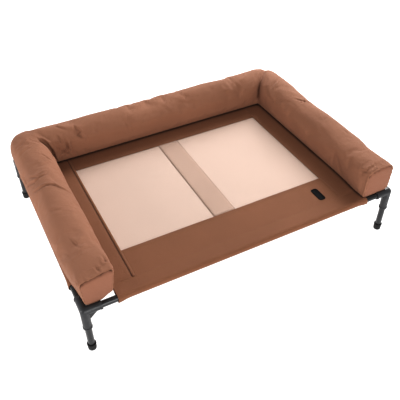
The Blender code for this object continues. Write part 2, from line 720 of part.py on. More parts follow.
def build_sofa():
    clear_scene()
    build_rails()
    build_legs()
    build_corners()
    build_feet()
    build_band("front", FRONT_BAND, 1)
    build_band("back", BACK_BAND, 1)
    build_band("left", SIDE_BAND, 2, tab_edge=SLEEVE_END)
    build_band("right", SIDE_BAND, 2, tab_edge=SLEEVE_END)
    build_mesh_panels()
    build_patch()
    build_side_runs()
    build_back_run()
    build_touch_strips()
    build_zip()
    build_slider()


build_sofa()
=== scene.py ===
"""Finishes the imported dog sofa: painted tube, moulded plastic, a sewn sling with an airy centre, and
a stuffed bolster on three sides. Metres, +Z up, X along the length, the open front towards -Y."""

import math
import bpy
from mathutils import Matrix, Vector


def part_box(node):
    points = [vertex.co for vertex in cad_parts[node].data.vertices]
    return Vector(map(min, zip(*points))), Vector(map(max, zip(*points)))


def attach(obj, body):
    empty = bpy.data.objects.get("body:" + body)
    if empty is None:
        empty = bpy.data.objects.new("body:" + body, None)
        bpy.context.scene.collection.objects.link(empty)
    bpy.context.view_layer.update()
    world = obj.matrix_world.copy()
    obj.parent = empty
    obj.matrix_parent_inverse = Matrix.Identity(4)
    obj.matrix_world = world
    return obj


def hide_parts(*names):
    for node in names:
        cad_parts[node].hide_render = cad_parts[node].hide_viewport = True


bl_info = {
    "name": "Dog Sofa Finisher",
    "version": (1, 0, 0),
    "blender": (4, 5, 0),
    "location": "3D View > Sidebar > Dog Sofa",
    "description": "Sews, stuffs and paints the raised dog sofa round its packed frame",
    "category": "Object",
}

import bmesh
import bpy
import numpy as np
from mathutils import Matrix, Vector, noise
from mathutils.bvhtree import BVHTree

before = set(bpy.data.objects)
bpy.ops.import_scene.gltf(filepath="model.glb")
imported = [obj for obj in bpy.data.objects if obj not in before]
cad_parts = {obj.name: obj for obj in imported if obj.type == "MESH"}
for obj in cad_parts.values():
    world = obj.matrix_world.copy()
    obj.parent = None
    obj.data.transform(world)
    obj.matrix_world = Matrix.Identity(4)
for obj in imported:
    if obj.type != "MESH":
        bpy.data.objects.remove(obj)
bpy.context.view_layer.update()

# Sizes read from the frame
SIDES = ("front", "right", "back", "left")
BOX = {name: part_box(name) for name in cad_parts}
TUBE_RADIUS = (BOX["left_rail"][1].z - BOX["left_rail"][0].z) / 2
RAIL_HEIGHT = (BOX["left_rail"][1].z + BOX["left_rail"][0].z) / 2
LENGTH = BOX["right_rail"][1].x - BOX["left_rail"][0].x - 2 * TUBE_RADIUS
WIDTH = BOX["back_rail"][1].y - BOX["front_rail"][0].y - 2 * TUBE_RADIUS
CLOTH = BOX["centre_strip"][1].z - BOX["centre_strip"][0].z
MESH_LEVEL = BOX["mesh_left"][0].z
LAYER = BOX["centre_strip"][0].z - MESH_LEVEL
FIT = LAYER - CLOTH
SLEEVE_END = LENGTH / 2 - BOX["front_band"][1].x
SEAM_INSET = WIDTH / 2 - BOX["left_band"][1].y
BAND_WIDTH = {
    "front": BOX["front_band"][1].y + WIDTH / 2,
    "back": WIDTH / 2 - BOX["back_band"][0].y,
    "left": BOX["left_band"][1].x + LENGTH / 2,
    "right": LENGTH / 2 - BOX["right_band"][0].x,
}
BASE = BOX["bolster_left"][0].z
OUTER_X = BOX["bolster_right"][1].x
INNER_X = BOX["bolster_right"][0].x
OUTER_Y = BOX["bolster_back"][1].y
INNER_Y = BOX["bolster_back"][0].y
END_Y = BOX["bolster_left"][0].y + 0.004
SIDE_RISE = BOX["bolster_left"][1].z - BASE
BACK_RISE = BOX["bolster_back"][1].z - BASE
# Sling sewing
SLEEVE_SLACK = 0.0003  # between the tube and the sleeve
WRAP_STEPS = 22  # round the tube
TONGUE = 0.012  # the sleeve's turned-under edge past its stitches
HEM_WIDTH = 0.010
HEM_EDGE = 0.001  # the hem's step is this far on either side of its width
HEM_RISE = 0.00025  # a doubled edge stands this much higher
ROLL_WIDTH = 0.0078  # the left band's inner edge is rolled, and sewn down in a ditch behind
ROLL_SLOPES = (0.0014, 0.0016)  # over which the roll rises, and falls to the ditch
ROLL_RISE = 0.0016
DITCH = 0.0009
DITCH_WIDTH = 0.0012
EDGE_PRESS = (0.0010, 0.006)  # the right band's edge is pressed down: how deep, and how far in
TAB_PRESS = (0.0011, 0.014)  # so are the side bands' ends
STRIP_PRESS = (0.0011, 0.008)  # and the centre strip's edges
STITCH_PULL = (0.00015, 0.004)  # the sleeve's stitches pull the cloth down: how deep and how wide
STITCH_PUCKER = (0.0003, 0.016)  # and pucker it
SLEEVE_FLARE = 0.0020  # how far a sleeve's end opens round the tube
FLARE_LENGTH = 0.035
CLOTH_STEP = 0.009  # size of the sling's mesh faces
ROW_STEP = 0.02  # between the points that a row of stitches follows
ROW_END = 0.002  # a row stops short of the cloth's end
STITCH = 0.0030
STITCH_GAP = 0.0010
STITCH_ARCH = (  # share of its length, how far its middle lies above the cloth and how thick, in radii
    (0.0, -1.2, 0.7),
    (0.22, 0.5, 1.0),
    (0.78, 0.5, 1.0),
    (1.0, -1.2, 0.7),
)
THREAD_RADIUS = 0.00030
THREAD_SIDES = 5
DITCH_SHADE_THREAD = 0.00100  # the thicker near-black thread along the left band's ditch: a real row of stitches, its dark colour and width a painted ditch shadow
PATCH_CORNER = 0.009
PATCH_RIM = ((0.0, 0.0004), (0.0004, 0.0), (0.0016, 0.0), (0.0020, 0.0005), (0.0100, 0.0005))

# Bolster: sizes come in pairs for the left (-1) and the right (1) half where these differ
RING_POINTS = 68
RING_STEP = 0.0066
FAN_LENGTH = 0.100  # how far from the inner corner the rings start to turn
FAN_STEPS = 20
CORNER_RADIUS = {-1: 0.056, 1: 0.070}
WAIST = 0.45  # height of the widest line, as a share of the height
BASE_FLAT = 0.02  # how much of the round underside is pressed flat, as a share of the height
TOP_POWER = 2.45  # 2 is an ellipse, and more is squarer
END_POWER = {-1: 10.0, 1: 4.5}  # the same at the flat ends
INNER_POWER = (8.0, 14.0)  # below the waist, in the runs and at the ends
OUTER_POWER = (3.4, 6.0)
END_LENGTH = 0.17  # the ends grow square, narrow and sink over this length
SAG = 0.0032  # the inner edge of the base sinks onto the sling, beside the touch strips
END_ROUND = 0.0030
END_LEAN = 0.004  # the ends lean forwards at the top
END_DROP = {-1: -0.001, 1: 0.003}  # how much lower the top is there
END_SLOPE = {-1: 0.018, 1: 0.0}  # and how much more at the outer side
END_LIFT = {-1: 0.018, 1: 0.0}  # of the inner lower corner
LIFT_LENGTH = 0.05
END_DRAWN = {  # how far the inner and the outer side are drawn in at the end, at the base and the top
    -1: ((0.014, 0.003), (0.016, 0.009)),
    1: ((-0.004, -0.004), (0.014, 0.012)),
}
END_REACH = {-1: 0.007, 1: 0.010}  # how far the end comes forward
REACH_LENGTH = 0.25
END_SEAM = {-1: 1.0, 1: 0.5}  # how deep the seam along its top is
END_PITS = {-1: (-0.528, -0.469, -0.440), 1: (0.432, 0.446, 0.463)}  # where the seam is drawn deeper
PIT_WIDTH = 0.0035
END_HALF = 0.05  # about half an end's height, to which its rings shrink
RIM_RINGS = (  # the cover's rings inside its rim: inset, depth in the seam, way forward
    (0.0225, 0.0, -0.007),
    (0.0075, 0.0, -0.007),
    (0.0040, 0.0080, -0.0006),
    (0.0020, 0.0080, 0.0),
)
PANEL_RINGS = (  # the same for an end panel, from its tucked edge inwards
    (0.0040, 0.0, -0.0080),
    (0.0022, 0.0084, 0.0),
    (0.0026, 0.0072, 0.0004),
    (0.0045, 0.0048, 0.0008),
    (0.0075, 0.0012, 0.0012),
    (0.0105, 0.0, 0.0016),
    (0.020, 0.0, 0.0024),
    (0.029, 0.0, 0.0028),
    (0.039, 0.0, 0.0030),
    (0.047, 0.0, 0.0030),
)
GATHER = 0.0010  # of the end panels' cloth beside their seams
MITRE_DEPTH = {-1: 0.20, 1: 0.14}  # how much lower the cover is along the mitre, as a share
MITRE_FADE = {-1: 1.0, 1: 0.45}  # how much of that is gone at the outer side
MITRE_WIDTH = {(-1, "side"): 0.006, (-1, "back"): 0.008, (1, "side"): 0.012, (1, "back"): 0.010}
MITRE_END = {-1: (0.06, 0.26), 1: (0.30, 0.75)}  # where across it fades
MITRE_TUCK = (0.006, 0.014)  # the inner side is drawn in at the mitre: how deep and how wide
SADDLE = {-1: 0.010, 1: 0.0}  # a wider, shallower dip along it
SADDLE_WIDTH = 0.045
SHOULDER = {-1: 0.0, 1: 0.006}  # the side run stands this much higher beside its corner
BACK_SINK = 0.010  # the back run's middle is this much lower than its solid
BACK_BELLY = 0.003
SLIM = 0.0015  # the cover is laid out this much smaller, and its stuffing swells it
SWELL_FRAMES = 20
STUFFING = {"quality": 5, "mass": 0.25, "tension_stiffness": 25, "compression_stiffness": 25,
            "shear_stiffness": 8, "bending_stiffness": 0.4, "use_pressure": True}
FOLD_RIMS = ((0.75, 1.9, 1.2), (0.20, -2.2, 1.4))  # height in depths, place and width in widths
LUMPS = ((0.0014, 14.0, 0.0), (0.0005, 45.0, 3.0))  # of the stuffing: how high and how close
WRINKLE = 0.0011  # the sharper ones between them
PUCKER = 0.0016  # along the end seams
# Each fold: its depth and width in mm, then its places on its run, as mm along it and hundredths
# of the way from the inner side over the top to the outer side
FOLDS = {
    "left": (
        (-3.2, 4.0, (285, 86), (282, 62), (312, 47)),
        (2.0, 5.5, (240, 80), (252, 62), (262, 40)),
        (3.4, 3.5, (205, 40), (190, 33), (165, 26)),
        (2.5, 4.0, (225, 22), (205, 14), (180, 8)),
        (2.8, 3.6, (132, 79), (94, 63), (106, 40)),
        (4.5, 3.8, (130, 95), (82, 70), (87, 48), (108, 38)),
        (4.5, 3.8, (60, 84), (38, 67), (26, 42), (14, 36), (-6, 16)),
        (2.0, 5.0, (-60, 70), (-85, 62), (-100, 50)),
        (2.2, 3.4, (-205, 61), (-243, 56), (-275, 50)),
        (-1.4, 4.0, (-268, 50), (-285, 60), (-290, 72)),
        (1.8, 4.5, (-150, 24), (-175, 17), (-190, 8)),
        (3.0, 3.5, (-372, 80), (-352, 78)),
        (2.6, 3.5, (-374, 42), (-350, 44)),
        (3.0, 3.8, (-374, 24), (-345, 27), (-310, 29)),
    ),
    "back": (
        (11.0, 3.6, (-446, 31), (-428, 19), (-419, 8), (-414, -5), (-406, -20)),
        (5.2, 3.6, (-369, 21), (-362, 6), (-396, -6)),
        (-3.4, 3.6, (-354, 18), (-360, -4)),
        (3.6, 3.4, (-386, 28), (-380, 13)),
        (5.0, 3.4, (-326, 40), (-307, 24), (-317, 21), (-300, 13), (-309, 8)),
        (3.6, 4.0, (-385, 52), (-370, 42), (-350, 33)),
        (2.4, 4.0, (-142, 22), (-135, 12), (-125, 2)),
        (1.4, 7.0, (80, 30), (110, 24), (150, 20)),
        (2.2, 5.5, (330, 36), (345, 25), (350, 12)),
        (2.2, 5.5, (400, 60), (385, 50), (360, 42)),
    ),
    "right": (
        (3.4, 5.5, (262, 70), (240, 52), (217, 26)),
        (2.0, 5.0, (225, 20), (200, 14), (170, 12)),
        (3.4, 3.6, (104, 40), (75, 50), (46, 62)),
        (2.4, 3.4, (62, 42), (68, 69)),
        (2.0, 3.4, (-142, 57), (-182, 57)),
        (1.3, 7.0, (-60, 34), (-90, 28), (-130, 24)),
        (3.0, 3.0, (-334, 20), (-361, 22), (-360, 38)),
        (2.6, 3.0, (-358, 34), (-378, 25), (-374, 42)),
        (1.6, 2.8, (-370, 36), (-352, 41), (-340, 42)),
        (1.2, 3.0, (-362, 50), (-345, 55)),
    ),
}

# Zip
ZIP_TAPE = 0.0008
ZIP_NECK = 0.0014
ZIP_BEAD = 0.0020
ZIP_END = 0.016
ZIP_STOP = 0.002
ZIP_STOP_WIDTH = 0.0062
ZIP_TOOTH = 0.0016
TOOTH_SHARE = 0.46  # half a tooth's length, as a share of the space between two
ZIP_FOLD = (0.0006, 0.006)  # the cover folds up over this range beside the tape
TOUCH_STRIPS = {"loop": ("frame", 1.0, 900.0), "hook": ("bolster", 0.8, 1400.0)}  # body, shade, tufts

# Finishes and stage
# Painted shade: cloth colours are darkened towards the colour below wherever an occlusion node finds
# other surfaces close by
CREVICE_SHADE_REACH = 0.012  # seams and joins narrower than this get painted shade in their colour
CREVICE_SHADE_COLOUR = (0.020, 0.008, 0.004)
SHARP_ANGLE = math.radians(33)  # of a real corner between two facets
FLOOR_HALF = 60.0
FLOOR_STEPS = 20
SENSOR_WIDTH = 36.0
LIGHTS_AIM = Vector((0, 0, 0.2))
LIGHTS = {  # where each soft box hangs, and its width
    "key": ((2.4, 2.1, 2.15), 1.65),
    "left": ((-2.6, 0.0, 0.6), 1.2),
    "front": ((-0.3, -2.9, 0.9), 1.5),
}
UP = Vector((0, 0, 1))


def rail_place(side):
    """Where a rail lies: its axis is local X and the middle of the sofa is towards local +Y."""
    x = {"right": LENGTH / 2, "left": -LENGTH / 2}.get(side, 0.0)
    y = {"front": -WIDTH / 2, "back": WIDTH / 2}.get(side, 0.0)
    turn = Matrix.Rotation(SIDES.index(side) * math.pi / 2, 4, "Z")
    return Matrix.Translation((x, y, RAIL_HEIGHT)) @ turn


def rail_length(side):
    """Between the axes of the two corners that a rail joins."""
    return LENGTH if side in ("front", "back") else WIDTH


def ease(value, start, end):
    """0 before start, 1 after end, and a smooth rise between them."""
    share = min(max((value - start) / (end - start), 0.0), 1.0)
    return share * share * (3 - 2 * share)


def fall(value, start, end):
    """1 before start, 0 after end, and a smooth fall between them."""
    return 1 - ease(value, start, end)


def pressed(from_edge, depth, width):
    """How far a cloth is pressed down near its edge."""
    return depth * fall(from_edge, 0.0, width)


def bump(distance, width):
    """1 at distance 0, falling smoothly to nothing over about twice the width."""
    return math.exp(-((distance / width) ** 2))


def spaced(points, step):
    """A line's points, with more between those that are further apart than step."""
    line = [points[0]]
    for a, b in zip(points, points[1:]):
        pieces = max(1, math.ceil((Vector(b) - Vector(a)).length / step))
        line += [tuple(Vector(a).lerp(Vector(b), i / pieces)) for i in range(1, pieces + 1)]
    return line


def marks_between(marks, step):
    """Distances along a line, with more between those that are further apart than step."""
    return [mark for mark, _ in spaced([(mark, 0.0) for mark in marks], step)]


def lengths_along(points):
    """How far along a line each of its points lies."""
    far = [0.0]
    for a, b in zip(points, points[1:]):
        far.append(far[-1] + (Vector(b) - Vector(a)).length)
    return far


# Pieces


def lay_grid(bm, points, flat, closed=False, keep=None):
    """Faces between rows of points. flat holds each point's place on the cloth before it was
    shaped, in metres, which the weave follows."""
    uv = bm.loops.layers.uv.get("cloth") or bm.loops.layers.uv.new("cloth")
    verts = [[bm.verts.new(point) for point in row] for row in points]
    columns = len(verts[0])
    for i in range(len(verts) - 1):
        for j in range(columns if closed else columns - 1):
            if keep and not keep(i, j):
                continue
            k = (j + 1) % columns
            face = bm.faces.new((verts[i][j], verts[i][k], verts[i + 1][k], verts[i + 1][j]))
            for loop, (a, b) in zip(face.loops, ((i, j), (i, j + 1), (i + 1, j + 1), (i + 1, j))):
                loop[uv].uv = flat[a][b]
    return verts


def lay_rings(bm, rings, axes):
    """lay_grid for closed rings, whose flat places are two of their points' own axes."""
    flat = [[tuple(point[axis] for axis in axes) for point in ring + ring[:1]] for ring in rings]
    return lay_grid(bm, rings, flat, closed=True)


def loft(bm, rings):
    """Faces between closed rings of points, and over the first and the last ring."""
    rings = [[bm.verts.new(point) for point in ring] for ring in rings]
    for near, far in zip(rings, rings[1:]):
        for a in range(len(near)):
            b = (a + 1) % len(near)
            bm.faces.new((near[a], near[b], far[b], far[a]))
    bm.faces.new(rings[0])
    bm.faces.new(rings[-1])


def make_object(name, bm, finish):
    """Turns a bmesh into a smooth object of one finish."""
    mesh = bpy.data.meshes.new(name)
    loose = [vert for vert in bm.verts if not vert.link_faces]
    bmesh.ops.delete(bm, geom=loose, context="VERTS")
    bmesh.ops.recalc_face_normals(bm, faces=bm.faces)
    bm.to_mesh(mesh)
    bm.free()
    mesh.materials.append(finish)
    mesh.shade_smooth()
    made = bpy.data.objects.new(name, mesh)
    bpy.context.scene.collection.objects.link(made)
    return made


def make_piece(name, bm, finish, body, stands_for=()):
    """A finished piece that rides on a body of the frame, in the place of some of its nodes."""
    piece = make_object(name, bm, finish)
    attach(piece, body)
    if stands_for:
        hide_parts(*stands_for)
    return piece


def face_up(piece, face):
    """Turns an open sheet over if one of its faces looks down."""
    if face.normal.z < 0:
        piece.data.flip_normals()


def thicken(piece, thickness):
    solidify = piece.modifiers.new("cloth", "SOLIDIFY")
    solidify.thickness = thickness
    solidify.offset = 1.0
    solidify.use_even_offset = True


def flat_panel(name, node, thickness, finish, shape=None, body="frame", level=None):
    """A flat sheet in a node's place, its height changed by shape(x, y)."""
    low, high = BOX[node]
    level = low.z if level is None else level
    axes = []
    for start, end in ((low.x, high.x), (low.y, high.y)):
        count = max(2, round((end - start) / CLOTH_STEP))
        axes.append([start + (end - start) * i / count for i in range(count + 1)])
    xs, ys = axes
    bm = bmesh.new()
    lay_grid(bm, [[(x, y, level + (shape(x, y) if shape else 0.0)) for x in xs] for y in ys],
             [[(x, y) for x in xs] for y in ys])
    panel = make_piece(name, bm, finish, body, [node])
    face_up(panel, panel.data.polygons[0])
    thicken(panel, thickness)


def settle_modifiers(piece):
    """Makes a piece's modifiers part of its mesh."""
    graph = bpy.context.evaluated_depsgraph_get()
    mesh = bpy.data.meshes.new_from_object(piece.evaluated_get(graph), depsgraph=graph)
    piece.modifiers.clear()
    piece.data = mesh


def sew_row(bm, line, radius=THREAD_RADIUS):
    """One row of stitches: short arched threads that dive into the cloth at both ends."""
    far = lengths_along(line)
    axes = np.array(line).T
    count = int(far[-1] / (STITCH + STITCH_GAP))

    def spot(at):
        return Vector([np.interp(at, far, axis) for axis in axes])

    for number in range(count):
        start = (number + 0.5) * far[-1] / count - STITCH / 2
        rings = []
        for share, lift, girth in STITCH_ARCH:
            at = start + share * STITCH
            across = UP.cross(spot(at + 1e-4) - spot(at - 1e-4)).normalized()
            centre = spot(at) + UP * radius * lift
            turns = [math.tau * side / THREAD_SIDES for side in range(THREAD_SIDES)]
            rings.append([centre + (across * math.cos(turn) + UP * math.sin(turn)) * radius * girth
                          for turn in turns])
        loft(bm, rings)


# Finishes


def add_node(tree, kind, inputs=None, **settings):
    """A shader node with its settings, and its inputs set or joined to another node's output."""
    node = tree.nodes.new(kind)
    for name, value in settings.items():
        setattr(node, name, value)
    for name, value in (inputs or {}).items():
        if isinstance(value, bpy.types.NodeSocket):
            tree.links.new(value, node.inputs[name])
        else:
            node.inputs[name].default_value = value
    return node


def calculate(tree, operation, *values):
    node = add_node(tree, "ShaderNodeMath", dict(enumerate(values)), operation=operation)
    return node.outputs[0]


def start_finish(name, sockets):
    """A new material, its shader's sockets set by name."""
    made = bpy.data.materials.new(name)
    made.use_nodes = True
    shader = made.node_tree.nodes["Principled BSDF"]
    for socket, value in sockets.items():
        shader.inputs[socket].default_value = value
    return made, made.node_tree, shader


def blend(tree, share, first, second):
    """A colour between two others, which are colours or outputs."""
    node = add_node(tree, "ShaderNodeMix", {"Factor": share}, data_type="RGBA")
    for socket, value in ((node.inputs[6], first), (node.inputs[7], second)):
        if isinstance(value, bpy.types.NodeSocket):
            tree.links.new(value, socket)
        else:
            socket.default_value = (*value, 1.0)
    return node.outputs[2]


def shade_of(colour, factor):
    return tuple(min(channel * factor, 1.0) for channel in colour)


def tones(tree, share, colour, low, high):
    """A colour between two shades of another."""
    return blend(tree, share, shade_of(colour, low), shade_of(colour, high))


def place_on(tree, kind):
    """What a pattern follows: UV is the flat cloth, in metres, and Object the piece in space."""
    return add_node(tree, "ShaderNodeTexCoord").outputs[kind]


def reverse(tree, value):
    return calculate(tree, "SUBTRACT", 1.0, value)


def remap(tree, value, start, end, low=0.0, high=1.0, **settings):
    """low where a value is at or before start, high at or after end."""
    node = add_node(tree, "ShaderNodeMapRange", {"Value": value, "From Min": start, "From Max": end,
                                                 "To Min": low, "To Max": high}, **settings)
    return node.outputs[0]


def cloudy(tree, coordinates, scale, low=0.0, high=1.0, detail=3.0):
    """Soft patches between two values."""
    patches = add_node(tree, "ShaderNodeTexNoise", {"Vector": coordinates, "Scale": scale,
                                                    "Detail": detail, "Roughness": 0.55})
    return remap(tree, patches.outputs[0], 0.32, 0.68, low, high)


def crossed_threads(tree, coordinates, pitch):
    """The heights of a cloth's two sets of threads, 0 to 1."""
    axes = add_node(tree, "ShaderNodeSeparateXYZ", {0: coordinates})
    turns = [calculate(tree, "MULTIPLY", axes.outputs[axis], math.pi / pitch) for axis in (0, 1)]
    return [calculate(tree, "ABSOLUTE", calculate(tree, "SINE", turn)) for turn in turns]


def plain_weave(tree, coordinates, pitch):
    """Height of a plain weave, 0 to 1: warp and weft threads cross over in turn."""
    warp, weft = crossed_threads(tree, coordinates, pitch)
    squares = add_node(tree, "ShaderNodeTexChecker", {"Vector": coordinates, "Scale": 1 / pitch})
    kept = calculate(tree, "MULTIPLY", warp, squares.outputs["Fac"])
    crossed = calculate(tree, "MULTIPLY", weft, reverse(tree, squares.outputs["Fac"]))
    return calculate(tree, "ADD", kept, crossed)


def painted_crevice_shade(tree, colour, reach):
    """Paints shade into a colour where other surfaces close in within reach: painted shade in seams,
    creases and contact lines.
    """
    closed = add_node(tree, "ShaderNodeAmbientOcclusion", {"Distance": reach}, samples=6)
    # painted shade: the more closed in, the nearer the colour comes to the painted shade colour
    share = remap(tree, closed.outputs["AO"], 0.30, 0.75, 0.82, 0.0)
    return blend(tree, share, colour, CREVICE_SHADE_COLOUR)


def fine_creases(tree, cloth, space):
    """Sharp little creases that run round a stuffed tube, here and there, 0 to 1."""
    drawn = add_node(tree, "ShaderNodeMapping", {"Vector": cloth, "Scale": (34.0, 11.0, 1.0)})
    waves = add_node(tree, "ShaderNodeTexNoise", {"Vector": drawn.outputs[0], "Scale": 1.0, "Detail": 1.5,
                                                  "Roughness": 0.4, "Distortion": 0.9})
    off = calculate(tree, "ABSOLUTE", calculate(tree, "SUBTRACT", waves.outputs[0], 0.5))
    line = remap(tree, off, 0.0, 0.06, 1.0, 0.0, interpolation_type="SMOOTHSTEP")
    return calculate(tree, "MULTIPLY", line, cloudy(tree, space, 6.5, -0.9, 1.5, detail=1.0))


def dress(tree, shader, colour, layers, roughness=None):
    """Joins a colour and stacked bumps to the shader, and uneven roughness where there is some.
    A bump is a height output, and how high its 1 stands, in metres."""
    tree.links.new(colour, shader.inputs["Base Color"])
    if roughness:
        tree.links.new(roughness, shader.inputs["Roughness"])
    normal = None
    for height, distance in layers:
        inputs = {"Height": height, "Distance": distance, "Strength": 1.0}
        if normal:
            inputs["Normal"] = normal
        normal = add_node(tree, "ShaderNodeBump", inputs).outputs[0]
    tree.links.new(normal, shader.inputs["Normal"])


def woven_finish(name, colour, pitch, sheen, patchy=0.06, rumple=0.0006, creases=0.0,
                 shade_reach=CREVICE_SHADE_REACH):
    """Woven cloth: crossed threads painted darker where they lie low (painted shade between them), faint
    patches, small rumples, a soft sheen and painted shade in its crevices.
    """
    made, tree, shader = start_finish(name, {"Roughness": 0.85, "Sheen Weight": sheen,
                                             "Sheen Roughness": 0.45, "Specular IOR Level": 0.25})
    cloth, space = place_on(tree, "UV"), place_on(tree, "Object")
    weave = plain_weave(tree, cloth, pitch)
    slub = calculate(tree, "MULTIPLY", cloudy(tree, cloth, 260.0, detail=1.0), 0.10)
    ground = tones(tree, cloudy(tree, space, 5.0), colour, 1 - patchy, 1 + patchy)
    worn = blend(tree, slub, ground, shade_of(colour, 0.72))
    # painted shade: the weave is painted darker where its threads lie low, between them
    low = calculate(tree, "MULTIPLY", reverse(tree, weave), 0.45)
    gap_shaded = blend(tree, low, worn, shade_of(colour, 0.62))
    layers = [(cloudy(tree, space, 28.0, detail=4.0), rumple), (weave, pitch * 0.22)]
    if creases:
        layers.insert(0, (fine_creases(tree, cloth, space), creases))
    # painted shade in the cloth's seams, creases and contact lines
    dress(tree, shader, painted_crevice_shade(tree, gap_shaded, shade_reach), layers)
    return made


def airy_finish(name, colour, pitch):
    """Coated open mesh: rows of holes painted dark, as painted shade seen through them, between smooth
    yarns.
    """
    made, tree, shader = start_finish(name, {"Roughness": 0.55, "Sheen Weight": 0.10,
                                             "Specular IOR Level": 0.35})
    cloth, space = place_on(tree, "UV"), place_on(tree, "Object")
    hollow = calculate(tree, "MULTIPLY", *crossed_threads(tree, cloth, pitch))
    # painted shade: the holes are painted dark where the yarns dip, as the shade seen through them
    dark = calculate(tree, "MULTIPLY", remap(tree, hollow, 0.72, 0.9), 0.42)
    ground = tones(tree, cloudy(tree, space, 3.0), colour, 0.98, 1.03)
    dress(tree, shader, blend(tree, dark, ground, shade_of(colour, 0.35)),
          [(cloudy(tree, space, 16.0), 0.0003), (reverse(tree, hollow), pitch * 0.25)])
    return made


def fuzzy_finish(name, colour, scale):
    """Touch-and-close tape: a ground cloth under tight loops or hooks, painted lighter on their tops and
    darker between them.
    """
    made, tree, shader = start_finish(name, {"Roughness": 0.9, "Sheen Weight": 0.5})
    tufts = add_node(tree, "ShaderNodeTexVoronoi", {"Vector": place_on(tree, "UV"), "Scale": scale,
                                                    "Randomness": 0.7}).outputs["Distance"]
    # painted highlight and shade: each tuft is lighter at its raised middle and darker in the low gaps
    # between
    dress(tree, shader, tones(tree, tufts, colour, 1.35, 0.4), [(reverse(tree, tufts), 0.0004)])
    return made


def solid_finish(name, colour, sockets, shades, patches, grain, roughness=None):
    """A finish without threads: patches of two shades under a fine grain, and uneven roughness.
    patches and roughness are cloudy's values, and grain is its scale, height and detail."""
    made, tree, shader = start_finish(name, sockets)
    space = place_on(tree, "Object")
    scale, height, detail = grain
    dress(tree, shader, tones(tree, cloudy(tree, space, *patches), colour, *shades),
          [(cloudy(tree, space, scale, detail=detail), height)],
          cloudy(tree, space, *roughness) if roughness else None)
    return made


def thread_finish(name, colour):
    """Twisted sewing thread."""
    return solid_finish(name, colour, {"Roughness": 0.6, "Sheen Weight": 0.2}, (0.75, 1.15),
                        (900.0,), (2600.0, 0.0001, 3.0))


def painted_finish(name, colour, gloss):
    """Powder-coated steel tube: a fine orange-peel skin with slightly uneven gloss."""
    sockets = {"Specular IOR Level": 0.4, "Coat Weight": 0.15, "Coat Roughness": 0.2}
    return solid_finish(name, colour, sockets, (0.85, 1.2), (40.0,), (900.0, 0.00003, 1.0),
                        (60.0, gloss - 0.05, gloss + 0.07))


def moulded_finish(name, colour, roughness, grain, shine=0.35):
    """Moulded plastic or rubber: a spark-eroded grain, and paler where it has been rubbed."""
    return solid_finish(name, colour, {"Specular IOR Level": shine}, (1.0, 1.6), (55.0, 0.0, 0.5, 6.0),
                        (1400.0, grain, 2.0), (90.0, roughness - 0.06, roughness + 0.08))


def metal_finish(name, colour):
    """Dark plated zip metal with rubbed high spots."""
    return solid_finish(name, colour, {"Metallic": 1.0}, (1.0, 2.2), (300.0,),
                        (1500.0, 0.00002, 3.0), (420.0, 0.28, 0.45))


def floor_finish(name, colour, glow):
    """Matt seamless paper, lit a little from below."""
    sockets = {"Roughness": 0.95, "Specular IOR Level": 0.1, "Emission Color": (1.0, 1.0, 1.0, 1.0),
               "Emission Strength": glow}
    return solid_finish(name, colour, sockets, (0.995, 1.0), (1.5,), (220.0, 0.0001, 3.0))


# Frame


def smooth_joins():
    """Joins a node's loose facets and smooths every edge that isn't a real corner."""
    group = bpy.data.node_groups.new("smooth joins", "GeometryNodeTree")
    for way in ("INPUT", "OUTPUT"):
        group.interface.new_socket("Geometry", in_out=way, socket_type="NodeSocketGeometry")
    start, end = (group.nodes.new(f"NodeGroup{way}") for way in ("Input", "Output"))
    welded = add_node(group, "GeometryNodeMergeByDistance", {"Geometry": start.outputs[0],
                                                             "Distance": 0.000002})
    bare = add_node(group, "GeometryNodeRemoveAttribute", {"Geometry": welded.outputs[0],
                                                           "Name": "custom_normal"})
    smooth = add_node(group, "GeometryNodeSetShadeSmooth", {"Geometry": bare.outputs[0]})
    angle = add_node(group, "GeometryNodeInputMeshEdgeAngle")
    corner = add_node(group, "FunctionNodeCompare", {"A": angle.outputs["Unsigned Angle"],
                                                     "B": SHARP_ANGLE},
                      data_type="FLOAT", operation="LESS_EQUAL")
    sharp = add_node(group, "GeometryNodeSetShadeSmooth", {"Geometry": smooth.outputs[0],
                                                           "Shade Smooth": corner.outputs[0]},
                     domain="EDGE")
    group.links.new(sharp.outputs[0], end.inputs[0])
    return group


def paint_frame(settings):
    """Gives the rails, legs, connectors, feet and slider their finishes and soft corners."""
    paint = painted_finish("black powder coat", settings.tube_colour, settings.gloss)
    plastic = moulded_finish("black connector plastic", settings.corner_colour, 0.36, 0.00004)
    rubber = moulded_finish("black foot rubber", settings.foot_colour, 0.66, 0.00005)
    steel = metal_finish("dark zip metal", settings.zip_colour)
    kinds = {"rail": paint, "leg": paint, "corner": plastic, "foot": rubber, "slider": steel}
    smoothing = smooth_joins()
    for name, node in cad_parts.items():
        finish = next((kinds[word] for word in name.split("_") if word in kinds), None)
        if finish:
            for slot in node.material_slots:
                slot.material = finish
            node.modifiers.new("smooth", "NODES").node_group = smoothing


# Sling


def sleeve_line(width, level, extra):
    """A band seen along its rail, as (inwards, up) from the rail's axis: in from its inner edge,
    past the stitches, round the tube and back under. extra lists more distances in from the axis."""
    over = level - RAIL_HEIGHT
    under = over - FIT
    radius = TUBE_RADIUS + SLEEVE_SLACK
    keys = sorted({width, SEAM_INSET, SEAM_INSET + 0.004, *extra}, reverse=True)
    start = math.atan2(over, SEAM_INSET) + math.acos(radius / math.hypot(SEAM_INSET, over))
    stop = math.atan2(under, SEAM_INSET) - math.acos(radius / math.hypot(SEAM_INSET, under)) + math.tau
    turns = [start + (stop - start) * i / WRAP_STEPS for i in range(WRAP_STEPS + 1)]
    wrap = [(radius * math.cos(turn), radius * math.sin(turn)) for turn in turns]
    line = [(distance, over) for distance in keys] + wrap
    line += [(SEAM_INSET, under), (SEAM_INSET + TONGUE, under)]
    return spaced(line, CLOTH_STEP)


